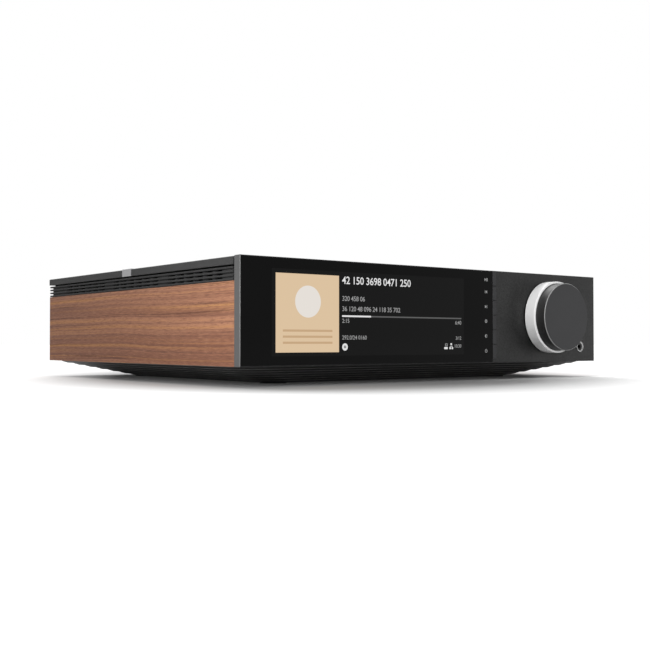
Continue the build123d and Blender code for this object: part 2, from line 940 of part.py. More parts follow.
def stepped_base():
    """Moulded base: a stack of sloped terraces, hollow above its floor, with a boss for each screw."""
    base = Part()
    for level in range(terrace_count):
        low = plate_bottom - (level + 1) * terrace_height
        section = Pos(0, base_centre_y, low) * RectangleRounded(*terrace_size(level), terrace_corner)
        step = extrude(section, amount=terrace_height)
        under = step.faces().sort_by(Axis.Z)[0]
        base += chamfer(under.edges(), terrace_slope_width, terrace_slope_height, reference=under)
    wide, deep = terrace_size(terrace_count - 1)
    hollow_low = base_bottom + base_floor
    section = RectangleRounded(wide - 2 * base_wall, deep - 2 * base_wall, terrace_corner - base_wall)
    hollow = extrude(Pos(0, base_centre_y, hollow_low) * section, amount=plate_bottom - hollow_low)
    for x, y in base_screw_places():
        hollow -= rod_z(base_boss_radius, x, y, (hollow_low - sheet, plate_bottom + sheet))
    base -= hollow
    seat = base_bottom + base_screw_head_height
    for x, y in base_screw_places():
        base -= rod_z(base_screw_radius + hole_clearance, x, y, (0, plate_bottom + sheet))
        base -= rod_z(base_screw_head_radius + hole_clearance, x, y, (0, seat))
    return base - [foot(x, y, foot_radius + drop_in_clearance) for x, y in foot_places()]


def base_screws():
    """Screws from below through the base into the tray."""
    seat = base_bottom + base_screw_head_height
    screws = Part()
    for x, y in base_screw_places():
        screw = rod_z(base_screw_radius, x, y, (seat, tray_floor + base_screw_beyond))
        screw += rod_z(base_screw_head_radius, x, y, (base_bottom, seat))
        screws += screw - cross_drive(x, y, base_bottom, "z")
    return screws


def foot_places():
    """X and Y places of the four feet, near the corners of the lowest terrace."""
    wide, deep = terrace_size(terrace_count - 1)
    x = wide / 2 - foot_inset
    y = deep / 2 - foot_inset
    return [(across * x, base_centre_y + along * y) for across in (-1, 1) for along in (-1, 1)]


def foot(x, y, radius):
    """One round foot pad, or its pocket."""
    return rod_z(radius, x, y, (0, base_bottom + foot_seat))


def base_feet():
    """Four rubber pads let into the base."""
    return Part() + [foot(x, y, foot_radius) for x, y in foot_places()]


# Rear

def rear_panel():
    """Flat rear panel with a cut-out for every connector and a row of air slots."""
    low_half = half_width - panel_thickness
    high_half = half_width - fin_reach - vent_wall - hole_clearance
    depth = (rear_front, rear_face)
    panel = block((-low_half, low_half), depth, (plate_bottom, fin_bottom))
    panel += block((-high_half, high_half), depth, (fin_bottom, cover_ceiling))
    through = (rear_front - sheet, rear_face + sheet)
    gap = 2 * hole_clearance
    cuts = [
        plate_of(inlet_x, inlet_z, inlet_body_width + gap, inlet_body_height + gap, through),
        plate_of(rocker_x, rocker_z, rocker_body_width() + gap, rocker_body_height() + gap, through),
        plate_of(optical_x, board_top + optical_size / 2, optical_size + gap, optical_size + gap, through),
        plate_of(lan_x, board_top + lan_height / 2, lan_width + gap, lan_height + gap, through),
        plate_of(usb_x, board_top + usb_height / 2, usb_width + gap, usb_height + gap, through),
        plate_of(hdmi_x, board_top + hdmi_height / 2, hdmi_width + gap, hdmi_height + gap, through),
    ]
    cuts += [rod_y(post_core_radius + hole_clearance, x, post_z, through) for x in post_places()]
    cuts += [rod_y(phono_radius + hole_clearance, x, z, through) for x, z in phono_places()]
    cuts += [rod_y(screw_radius + hole_clearance, x, z, through) for x, z in rear_screw_places()]
    middle = rear_slots_across * width - half_width
    for number in range(rear_slot_count):
        x = middle + (number - (rear_slot_count - 1) / 2) * rear_slot_pitch
        cuts.append(plate_of(x, plate_bottom + rear_slot_up, rear_slot_width, rear_slot_height, through))
    return panel - cuts


def casing_screws():
    """Screws through the inner frame into the front plate, and through the rear panel into the tray."""
    screws = Part()
    for places, tip, seat in (
        (fascia_screw_places(), plate_back - fascia_screw_depth, frame_back),
        (rear_screw_places(), rear_face - panel_screw_length, rear_face),
    ):
        for x, z in places:
            screw = rod_y(screw_radius, x, z, (tip, seat))
            screw += rod_y(screw_head_radius, x, z, (seat, seat + screw_head_height))
            screws += screw - cross_drive(x, seat + screw_head_height, z, "y")
    return screws


def inlet_cavity():
    """The space that takes a mains connector, with two corners cut off."""
    wide = inlet_cavity_width / 2
    high = inlet_cavity_height / 2
    cut = inlet_cavity_corner
    outline = [
        (-wide, -high),
        (wide, -high),
        (wide, high - cut),
        (wide - cut, high),
        (cut - wide, high),
        (-wide, high - cut),
    ]
    section = Pos(inlet_x, inlet_z) * make_face(Polyline(*outline, close=True))
    mouth = rear_face + inlet_flange_thickness
    return along_depth(section, mouth - inlet_cavity_depth, mouth + sheet)


def mains_inlet():
    """Mains inlet: a flange on the panel and a body behind it, open to the rear."""
    wide = inlet_body_width
    high = inlet_body_height
    mouth = rear_face + inlet_flange_thickness
    body = plate_of(inlet_x, inlet_z, wide, high, (rear_face - inlet_body_depth, rear_face))
    flange = plate_of(inlet_x, inlet_z, wide + 2 * inlet_flange, high + 2 * inlet_flange, (rear_face, mouth))
    flange = fillet(flange.edges().filter_by(Axis.Y), inlet_flange)
    return body + flange - inlet_cavity() - inlet_blades()


def inlet_blades():
    """Three contact blades, set through the inlet's body, the middle one raised."""
    tip = rear_face + inlet_flange_thickness - blade_recess
    depth = (rear_face - inlet_body_depth - blade_tail, tip)
    middle = plate_of(inlet_x, inlet_z + blade_raise, blade_width, blade_height, depth)
    low_z = inlet_z - blade_raise
    sides = (inlet_x - blade_spacing, inlet_x + blade_spacing)
    return middle + [plate_of(x, low_z, blade_width, blade_height, depth) for x in sides]


def rocker_body_width():
    """Width of the switch body in the panel's cut-out."""
    return rocker_width + 2 * rocker_well_gap + 2 * rocker_frame_wall


def rocker_body_height():
    """Height of the switch body in the panel's cut-out."""
    return 2 * (rocker_radius + rocker_well_gap + rocker_frame_wall)


def rocker_pivot_y():
    """Y place of the rocker's pivot."""
    return rear_face + rocker_flange_thickness - rocker_pivot_depth


def mains_switch():
    """Switch body with the well and the bearing holes for its rocker."""
    wide = rocker_body_width()
    high = rocker_body_height()
    outer = rear_face + rocker_flange_thickness
    body = plate_of(rocker_x, rocker_z, wide, high, (rear_face - rocker_body_depth, rear_face))
    rim = 2 * rocker_flange
    flange = plate_of(rocker_x, rocker_z, wide + rim, high + rim, (rear_face, outer))
    flange = fillet(flange.edges().filter_by(Axis.Y), rocker_flange / 2)
    well = plate_of(
        rocker_x,
        rocker_z,
        rocker_width + 2 * rocker_well_gap,
        2 * (rocker_radius + rocker_well_gap),
        (rocker_pivot_y() - rocker_radius, outer + sheet),
    )
    reach = rocker_width / 2 + rocker_pin_length + rocker_well_gap
    bearing = rocker_pin(rocker_pin_radius + running_clearance, reach)
    return body + flange - well - bearing


def rocker_pin(radius, reach):
    """Bar along X through the rocker's pivot."""
    return Pos(rocker_x, rocker_pivot_y(), rocker_z) * Rot(0, 90, 0) * Cylinder(radius, 2 * reach)


def switch_rocker():
    """Rocker with a shallow valley, round about its pins, lying on its off side."""
    rise = rocker_radius * tan(radians(rocker_lean))
    outline = [
        (-rocker_radius, -rocker_under),
        (rocker_radius, -rocker_under),
        (rocker_radius, rocker_valley + rise),
        (0, rocker_valley),
        (-rocker_radius, rocker_valley + rise),
    ]
    section = make_face(Polyline(*outline, close=True)) & Circle(rocker_radius)
    bar = extrude(section, amount=rocker_width / 2, both=True)
    leaning = Pos(rocker_x, rocker_pivot_y(), rocker_z) * Rot(rocker_lean, 0, 0) * Rot(0, 90, 0)
    return leaning * bar + rocker_pin(rocker_pin_radius, rocker_width / 2 + rocker_pin_length)


def post_places():
    """X places of the speaker posts, the last one in the middle of the width."""
    return [(number + 1 - post_count) * post_pitch for number in range(post_count)]


def post_feet():
    """Insulating feet outside the panel and clamp nuts inside it."""
    feet = Part()
    through = (rear_front - 2 * post_nut_length, rear_face + 2 * post_foot_length)
    for x in post_places():
        pad = rod_y(post_foot_radius, x, post_z, (rear_face, rear_face + post_foot_length))
        nut = rod_y(post_nut_radius, x, post_z, (rear_front - post_nut_length, rear_front))
        hole = rod_y(post_core_radius, x, post_z, through)
        feet += pad - hole
        feet += nut - hole
    return feet


def post_cores():
    """Metal cores of the posts, each with a bore for a plug."""
    cores = Part()
    mouth = post_rear - post_core_recess
    for x in post_places():
        core = rod_y(post_core_radius, x, post_z, (rear_front - post_core_inside, mouth))
        cores += core - rod_y(post_bore_radius, x, post_z, (mouth - post_bore_depth, mouth + sheet))
    return cores


def post_collar(number):
    """Clamp washer that slides on a post under its cap."""
    x = post_places()[number]
    front = rear_face + post_foot_length
    back = front + collar_length
    ring = rod_y(collar_radius, x, post_z, (front, back))
    return ring - rod_y(post_core_radius + running_clearance, x, post_z, (front - sheet, back + sheet))


def post_cap(number):
    """Fluted cap that screws along a post."""
    x = post_places()[number]
    front = rear_face + post_foot_length + collar_length + cap_seat_gap
    cap = rod_y(cap_radius, x, post_z, (front, post_rear))
    cap = fillet(cap.edges().group_by(Axis.Y)[-1], cap_end_round)
    through = (front - sheet, post_rear + sheet)
    cap -= rod_y(post_core_radius + running_clearance, x, post_z, through)
    away = cap_radius + cap_flute_radius / 2
    for flute in range(cap_flutes):
        angle = radians(360 * flute / cap_flutes)
        cap -= rod_y(cap_flute_radius, x + away * cos(angle), post_z + away * sin(angle), through)
    return cap


def phono_places():
    """X and Z places of the phono sockets."""
    places = []
    for column in range(phono_columns):
        for row in range(phono_rows):
            x = phono_x + (column - (phono_columns - 1) / 2) * phono_pitch_x
            z = phono_z + (row - (phono_rows - 1) / 2) * phono_pitch_z
            places.append((x, z))
    return places


def phono_barrels():
    """Metal barrels of the phono sockets, each with its collar on the panel."""
    barrels = Part()
    start = rear_front - phono_block_depth / 2
    end = rear_face + phono_length
    for x, z in phono_places():
        barrel = rod_y(phono_radius, x, z, (start, end))
        barrel += rod_y(phono_flange_radius, x, z, (rear_face, rear_face + phono_flange_thickness))
        barrels += barrel - rod_y(phono_core_radius, x, z, (start - sheet, end + sheet))
    return barrels


def phono_cores():
    """Insulating cores of the phono sockets, each with the hole for a plug's pin."""
    cores = Part()
    start = rear_front - phono_block_depth / 2
    end = rear_face + phono_length - phono_core_recess
    for x, z in phono_places():
        core = rod_y(phono_core_radius, x, z, (start, end))
        cores += core - rod_y(phono_hole_radius, x, z, (end - phono_hole_depth, end + sheet))
    return cores


def phono_block():
    """Plastic block behind the panel, which holds the barrels and their cores."""
    wide = (phono_columns - 1) * phono_pitch_x + 2 * phono_block_margin
    top = phono_z + (phono_rows - 1) / 2 * phono_pitch_z + phono_block_margin
    depth = (rear_front - phono_block_depth, rear_front)
    body = block((phono_x - wide / 2, phono_x + wide / 2), depth, (board_top, top))
    seat = (rear_front - phono_block_depth / 2, rear_front + sheet)
    return body - [rod_y(phono_radius, x, z, seat) for x, z in phono_places()]


def optical_socket():
    """Square optical socket with an open mouth."""
    face = rear_face + socket_proud
    z = board_top + optical_size / 2
    body = plate_of(optical_x, z, optical_size, optical_size, (face - optical_length, face))
    return body - plate_of(optical_x, z, optical_mouth, optical_mouth, (face - optical_depth, face + sheet))


def lan_socket():
    """Network socket in a metal can."""
    face = rear_face + socket_proud
    body = plate_of(lan_x, board_top + lan_height / 2, lan_width, lan_height, (face - lan_length, face))
    low = board_top + lan_mouth_up
    depth = (face - lan_mouth_depth, face + sheet)
    half = lan_mouth_width / 2
    mouth = block((lan_x - half, lan_x + half), depth, (low, low + lan_mouth_height))
    latch = block((lan_x - half / 2, lan_x + half / 2), depth, (low - sheet, low))
    return body - mouth - latch


def tongue_socket(x, wide, high, long):
    """A thin metal socket with a contact tongue inside."""
    face = rear_face + socket_proud
    z = board_top + high / 2
    can = plate_of(x, z, wide, high, (face - long, face))
    hollow_start = face - long + socket_floor
    inner_width = wide - 2 * socket_skin
    can -= plate_of(x, z, inner_width, high - 2 * socket_skin, (hollow_start, face + sheet))
    tongue_width = inner_width - 2 * tongue_side_gap
    return can + plate_of(x, z, tongue_width, tongue_thickness, (hollow_start, face - tongue_recess))


def usb_socket():
    """Wide flat data socket."""
    return tongue_socket(usb_x, usb_width, usb_height, usb_length)


def hdmi_socket():
    """Television sound socket."""
    return tongue_socket(hdmi_x, hdmi_width, hdmi_height, hdmi_length)


# Boards

def main_board_box():
    """X and Y places of the main board's edges."""
    back = rear_front - board_rear_gap
    return (main_board_left, main_board_right), (back - main_board_length, back)


def amp_board_box():
    """X and Y places of the amplifier board's edges."""
    back = rear_front - amp_board_rear_gap
    return (amp_board_left, amp_board_right), (back - amp_board_length, back)


def supply_board_box():
    """X and Y places of the power supply board's edges."""
    back = rear_front - supply_board_rear_gap
    return (supply_board_left, supply_board_right), (back - supply_board_length, back)


def board_hole_places():
    """X and Y places of every board's four holes."""
    boxes = [
        (main_board_box(), main_board_rear_hole_inset),
        (amp_board_box(), board_hole_inset),
        (supply_board_box(), board_hole_inset),
    ]
    places = []
    for (across, along), rear_inset in boxes:
        for x in (across[0] + board_hole_inset, across[1] - board_hole_inset):
            places.append((x, along[0] + board_hole_inset))
            places.append((x, along[1] - rear_inset))
    return places


def bare_board(across, along):
    """A board with a hole at each standoff."""
    board = block(across, along, (board_bottom, board_top))
    depth = (board_bottom - sheet, board_top + sheet)
    return board - [rod_z(board_screw_radius + hole_clearance, x, y, depth) for x, y in board_hole_places()]


def board_standoffs():
    """Six-sided standoffs on the tray's floor, with the board screws in them."""
    pillars = Part()
    hexagon = RegularPolygon(standoff_across / 2, 6, major_radius=False)
    for x, y in board_hole_places():
        pillar = extrude(Pos(x, y, tray_floor) * hexagon, amount=standoff_height)
        screw = rod_z(board_screw_radius, x, y, (board_bottom, board_top))
        head = rod_z(board_screw_head_radius, x, y, (board_top, board_top + board_screw_head_height))
        pillars += pillar + screw + head
    return pillars


def main_board():
    """Streaming and input board with its radio module and cable connector."""
    across, along = main_board_box()
    board = bare_board(across, along)
    x = (across[0] + across[1]) / 2
    y = (along[0] + along[1]) / 2
    radio_top = board_top + radio_height
    board += block((x - radio_width / 2, x + radio_width / 2), (y, y + radio_length), (board_top, radio_top))
    chip_x = across[1] - 2 * processor_size
    chip_top = board_top + processor_height
    board += block((chip_x, chip_x + processor_size), (y, y + processor_size), (board_top, chip_top))
    return board + board_connector()


def board_connector():
    """Cable connector on the front edge of the main board."""
    front = main_board_box()[1][0]
    half = cable_connector_width / 2
    return block(
        (cable_x - half, cable_x + half),
        (front, front + cable_connector_depth),
        (board_top, board_top + cable_connector_height),
    )


def amplifier_board():
    """Power stage with its row of output coils."""
    across, along = amp_board_box()
    board = bare_board(across, along)
    y = along[1] - 2 * board_hole_inset - coil_radius
    pitch = (across[1] - across[0] - 2 * coil_side_gap) / (coil_count - 1)
    for number in range(coil_count):
        x = across[0] + coil_side_gap + number * pitch
        coil = rod_z(coil_radius, x, y, (board_top, board_top + coil_height))
        board += coil - rod_z(coil_bore, x, y, (board_top, board_top + 2 * coil_height))
    return board


def amplifier_heatsink():
    """Finned heatsink over the power stage."""
    across, along = amp_board_box()
    start = along[0] + 2 * board_hole_inset
    ends = (start, start + heatsink_length)
    left = across[0] + heatsink_side_gap
    right = across[1] - heatsink_side_gap
    sink = block((left, right), ends, (board_top, board_top + heatsink_base))
    pitch = (right - left - heatsink_fin_thickness) / (heatsink_fins - 1)
    for number in range(heatsink_fins):
        x = left + number * pitch
        sink += block((x, x + heatsink_fin_thickness), ends, (board_top, board_top + heatsink_height))
    return sink


def power_supply():
    """Power supply board with its transformer and row of capacitors."""
    across, along = supply_board_box()
    board = bare_board(across, along)
    x = (across[0] + across[1]) / 2
    y = (along[0] + along[1]) / 2
    board += block(
        (x - transformer_width / 2, x + transformer_width / 2),
        (y - transformer_length / 2, y + transformer_length / 2),
        (board_top, board_top + transformer_height),
    )
    row_y = along[0] + 2 * board_hole_inset + capacitor_radius
    pitch = (across[1] - across[0] - 2 * capacitor_side_gap) / (capacitor_count - 1)
    for number in range(capacitor_count):
        row_x = across[0] + capacitor_side_gap + number * pitch
        board += rod_z(capacitor_radius, row_x, row_y, (board_top, board_top + capacitor_height))
    return board


def cable_start_z():
    """Z place of the flat cable at the display board."""
    return display_bottom + display_height / 2 - display_board_height / 2 + cable_connector_height


def display_cable():
    """Flat cable from the display board, down and back to the main board."""
    start_y = frame_back + display_spacer_length + board_thickness + cable_connector_depth
    start_z = cable_start_z()
    low = tray_floor + cable_sag_up
    end_y = main_board_box()[1][0]
    end_z = board_top + cable_connector_height / 2
    drop = start_y + 2 * cable_bend
    rise = end_y - 2 * cable_bend
    path = FilletPolyline(
        (cable_x, start_y, start_z),
        (cable_x, drop, start_z),
        (cable_x, drop + cable_bend, low),
        (cable_x, rise - cable_bend, low),
        (cable_x, rise, end_z),
        (cable_x, end_y, end_z),
        radius=cable_bend / 2,
    )
    start = Plane(origin=path @ 0, x_dir=(1, 0, 0), z_dir=path % 0)
    return sweep(start * Rectangle(cable_width, cable_thickness), path=path)


def build():
    """Every sub-part by its name."""
    parts = {
        "front_fascia": front_fascia(),
        "front_glass": front_glass(),
        "display_module": display_module(),
        "display_board": display_board(),
        "front_subframe": front_subframe(),
        "key_board": key_board(),
        "volume_knob": volume_knob(),
        "knob_spindle": knob_spindle(),
        "selector_ring": selector_ring(),
        "ring_sleeve": ring_sleeve(),
        "encoder_bush": encoder_bush(),
        "dual_encoder": dual_encoder(),
        "headphone_jack": headphone_jack(),
        "jack_ring": jack_ring(),
        "top_cover": top_cover(),
        "cover_tab": cover_tab(),
        "vent_grille_left": vent_grille(-1),
        "vent_grille_right": vent_grille(1),
        "side_panel_left": side_panel(-1),
        "side_panel_right": side_panel(1),
        "panel_magnets": panel_magnets(),
        "chassis_tray": chassis_tray(),
        "stepped_base": stepped_base(),
        "base_screws": base_screws(),
        "base_feet": base_feet(),
        "rear_panel": rear_panel(),
        "casing_screws": casing_screws(),
        "mains_inlet": mains_inlet(),
        "inlet_blades": inlet_blades(),
        "mains_switch": mains_switch(),
        "switch_rocker": switch_rocker(),
        "post_feet": post_feet(),
        "post_cores": post_cores(),
        "phono_barrels": phono_barrels(),
        "phono_cores": phono_cores(),
        "phono_block": phono_block(),
        "optical_socket": optical_socket(),
        "lan_socket": lan_socket(),
        "usb_socket": usb_socket(),
        "hdmi_socket": hdmi_socket(),
        "main_board": main_board(),
        "amplifier_board": amplifier_board(),
        "amplifier_heatsink": amplifier_heatsink(),
        "power_supply": power_supply(),
        "board_standoffs": board_standoffs(),
        "display_cable": display_cable(),
    }
    for number, name in enumerate(key_names):
        parts[name] = front_key(number)
    for number in range(post_count):
        parts[f"post_collar_{number + 1}"] = post_collar(number)
        parts[f"post_cap_{number + 1}"] = post_cap(number)
    return parts


os.makedirs("parts", exist_ok=True)
for name, part in build().items():
    export_step(part, f"parts/{name}.step")
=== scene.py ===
import logging
import math
from dataclasses import dataclass, replace
from enum import Enum
from functools import cache
from typing import Callable, Mapping, Optional, Sequence, Union

import bmesh
import bpy
from mathutils import Matrix, Vector


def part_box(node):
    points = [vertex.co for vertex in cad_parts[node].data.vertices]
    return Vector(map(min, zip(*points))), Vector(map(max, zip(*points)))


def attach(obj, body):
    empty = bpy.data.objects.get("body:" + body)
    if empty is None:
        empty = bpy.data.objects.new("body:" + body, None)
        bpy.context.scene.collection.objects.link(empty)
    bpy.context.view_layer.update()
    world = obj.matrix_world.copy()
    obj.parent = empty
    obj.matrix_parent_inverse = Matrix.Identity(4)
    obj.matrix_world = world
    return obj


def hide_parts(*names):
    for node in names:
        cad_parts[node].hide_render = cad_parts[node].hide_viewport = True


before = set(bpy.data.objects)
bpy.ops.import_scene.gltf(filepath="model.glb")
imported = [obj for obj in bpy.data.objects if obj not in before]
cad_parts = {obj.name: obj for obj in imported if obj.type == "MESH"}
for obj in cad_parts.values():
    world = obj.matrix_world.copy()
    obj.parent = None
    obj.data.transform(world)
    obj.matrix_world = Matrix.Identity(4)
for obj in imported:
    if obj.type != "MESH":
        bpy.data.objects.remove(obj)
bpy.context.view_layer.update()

# The looks of the streaming amplifier: its finishes, the drawing on its display, its dial, vents and
# fasteners, and the studio that it stands in. Sizes are in millimetres where nothing else is said, and
# MM turns them into metres. Places across the front are counted from the front plate's left edge, and
# heights on it from its lower edge. Other places are counted in the frame that all the parts share.

MM = 0.001
log = logging.getLogger("streaming_amplifier")

Socket = bpy.types.NodeSocket
Sockets = Mapping[str, Socket]
Node = bpy.types.Node
Tree = bpy.types.NodeTree
Material = bpy.types.Material
Mesh = bpy.types.Mesh
Piece = bpy.types.Object
Value = Union[float, int, bool, Sequence[float], bpy.types.ID, Socket]
Inputs = Mapping[Union[str, int], Value]
Point = tuple[float, float, float]
Flat = tuple[float, float]
Edges = tuple[float, float, float, float]
Line = tuple[int, Point]
Ink = tuple[float, float, float]
Placing = Callable[[float, float, float], Point]

FLOAT = "NodeSocketFloat"
VECTOR = "NodeSocketVector"
WHITE = (1.0, 1.0, 1.0, 1.0)
BLACK = (0.0, 0.0, 0.0, 1.0)

# A point on the axis of the dial and one on the axis of the headphone socket, in metres.
DIAL = (0.125, 0.0, 0.052)
JACK = (0.1684, 0.0, 0.0268)

# The index of refraction of the front glass, low because of its coating.
COATED = 1.15

# A line of one part: how many, and how far it is from one to the next.
SINGLE = (1, (0.0, 0.0, 0.0))

# Two points nearer than this, in metres, are one.
SAME = 1e-6


def linear(ink: Ink, factor: float = 1.0) -> tuple[float, float, float, float]:
    """Turns a colour as it is seen on a screen into a linear one.

    Args:
        ink: Red, green and blue, each from 0 to 255.
        factor: How much brighter it is made.

    Returns:
        Red, green, blue and a full alpha, each from 0 to 1.
    """
    parts = [part / 255 for part in ink]
    red, green, blue = [p / 12.92 if p <= 0.04045 else ((p + 0.055) / 1.055) ** 2.4 for p in parts]
    return (red * factor, green * factor, blue * factor, 1.0)


def grey(level: float) -> Ink:
    """Gives a grey of one level from 0 to 255."""
    return (level, level, level)


class Graph:
    """Adds nodes to one node tree and wires them together."""

    def __init__(self, tree: Tree) -> None:
        """Starts on a tree, which may already hold nodes."""
        self.tree = tree

    @classmethod
    def of(cls, data: Union[Material, bpy.types.World]) -> "Graph":
        """Starts on the emptied tree of a material or a world.

        Args:
            data: The material or the world.

        Returns:
            The graph.
        """
        data.use_nodes = True
        data.node_tree.nodes.clear()
        return cls(data.node_tree)

    def fill(self, node: Node, inputs: Inputs) -> None:
        """Wires a node's inputs to other nodes, or sets their own constants.

        Args:
            node: The node.
            inputs: What each named or numbered input gets.
        """
        for name, value in inputs.items():
            if isinstance(value, bpy.types.NodeSocket):
                self.tree.links.new(value, node.inputs[name])
            else:
                node.inputs[name].default_value = value

    def node(self, kind: str, inputs: Optional[Inputs] = None, **settings: object) -> Node:
        """Adds a node.

        Args:
            kind: The node's type name.
            inputs: What each named or numbered input gets.
            **settings: The node's own properties.

        Returns:
            The new node.
        """
        node = self.tree.nodes.new(kind)
        for name, setting in settings.items():
            setattr(node, name, setting)
        self.fill(node, inputs or {})
        return node

    def math(self, operation: str, first: Value, second: Value = 0.0, clamp: bool = False) -> Socket:
        """Gives the result of a Math node."""
        inputs = {0: first, 1: second}
        return self.node("ShaderNodeMath", inputs, operation=operation, use_clamp=clamp).outputs[0]

    def times(self, first: Value, second: Value, clamp: bool = False) -> Socket:
        """Multiplies two numbers."""
        return self.math("MULTIPLY", first, second, clamp)

    def vector(self, operation: str, first: Value, second: Value = (0.0, 0.0, 0.0)) -> Socket:
        """Gives the result of a Vector Math node, which is a number for a length or a dot product."""
        node = self.node("ShaderNodeVectorMath", {0: first, 1: second}, operation=operation)
        return node.outputs["Value" if operation in ("LENGTH", "DOT_PRODUCT") else "Vector"]

    def parts(self, vector: Socket) -> Sequence[Socket]:
        """Gives the X, Y and Z of a vector."""
        return self.node("ShaderNodeSeparateXYZ", {0: vector}).outputs

    def joined(self, x: Value = 0.0, y: Value = 0.0, z: Value = 0.0) -> Socket:
        """Gives a vector made of three numbers."""
        return self.node("ShaderNodeCombineXYZ", {0: x, 1: y, 2: z}).outputs[0]

    def even(self, level: Value) -> Socket:
        """Gives a grey made of one number."""
        return self.node("ShaderNodeCombineColor", {0: level, 1: level, 2: level}).outputs[0]

    def place(self) -> Socket:
        """Gives the place on the surface, in the piece's own metres."""
        return self.node("ShaderNodeTexCoord").outputs["Object"]

    def span(
        self, value: Value, low: Value, high: Value, to_low: Value = 0.0, to_high: Value = 1.0
    ) -> Socket:
        """Maps a value from one range to another, held at its ends."""
        inputs = {"Value": value, "From Min": low, "From Max": high, "To Min": to_low, "To Max": to_high}
        return self.node("ShaderNodeMapRange", inputs, clamp=True).outputs["Result"]

    def mix(self, share: Value, first: Value, second: Value, blend: str = "MIX") -> Socket:
        """Mixes two colours.

        Args:
            share: How much of the second colour shows, from 0 to 1.
            first: The colour that is there when share is 0.
            second: The colour that is mixed in.
            blend: Blender's name for the way of mixing.

        Returns:
            The mixed colour.
        """
        inputs = {0: share, 6: first, 7: second}
        return self.node("ShaderNodeMix", inputs, data_type="RGBA", blend_type=blend).outputs[2]

    def noise(self, place: Value, scale: Value, detail: float = 2.0, distortion: float = 0.0) -> Socket:
        """Gives a noise value from 0 to 1, with its scale counted per metre."""
        inputs = {"Vector": place, "Scale": scale, "Detail": detail, "Distortion": distortion}
        return self.node("ShaderNodeTexNoise", inputs).outputs[0]

    def effect(self, tree: Tree, **values: Value) -> Sockets:
        """Places a shared effect.

        Args:
            tree: The effect's node group.
            **values: What its inputs get, with _ in a name for a space.

        Returns:
            The effect's outputs, by name.
        """
        inputs = {name.replace("_", " "): value for name, value in values.items()}
        return self.node("ShaderNodeGroup", inputs, node_tree=tree).outputs


Wiring = Callable[[Graph, Sockets], Sockets]


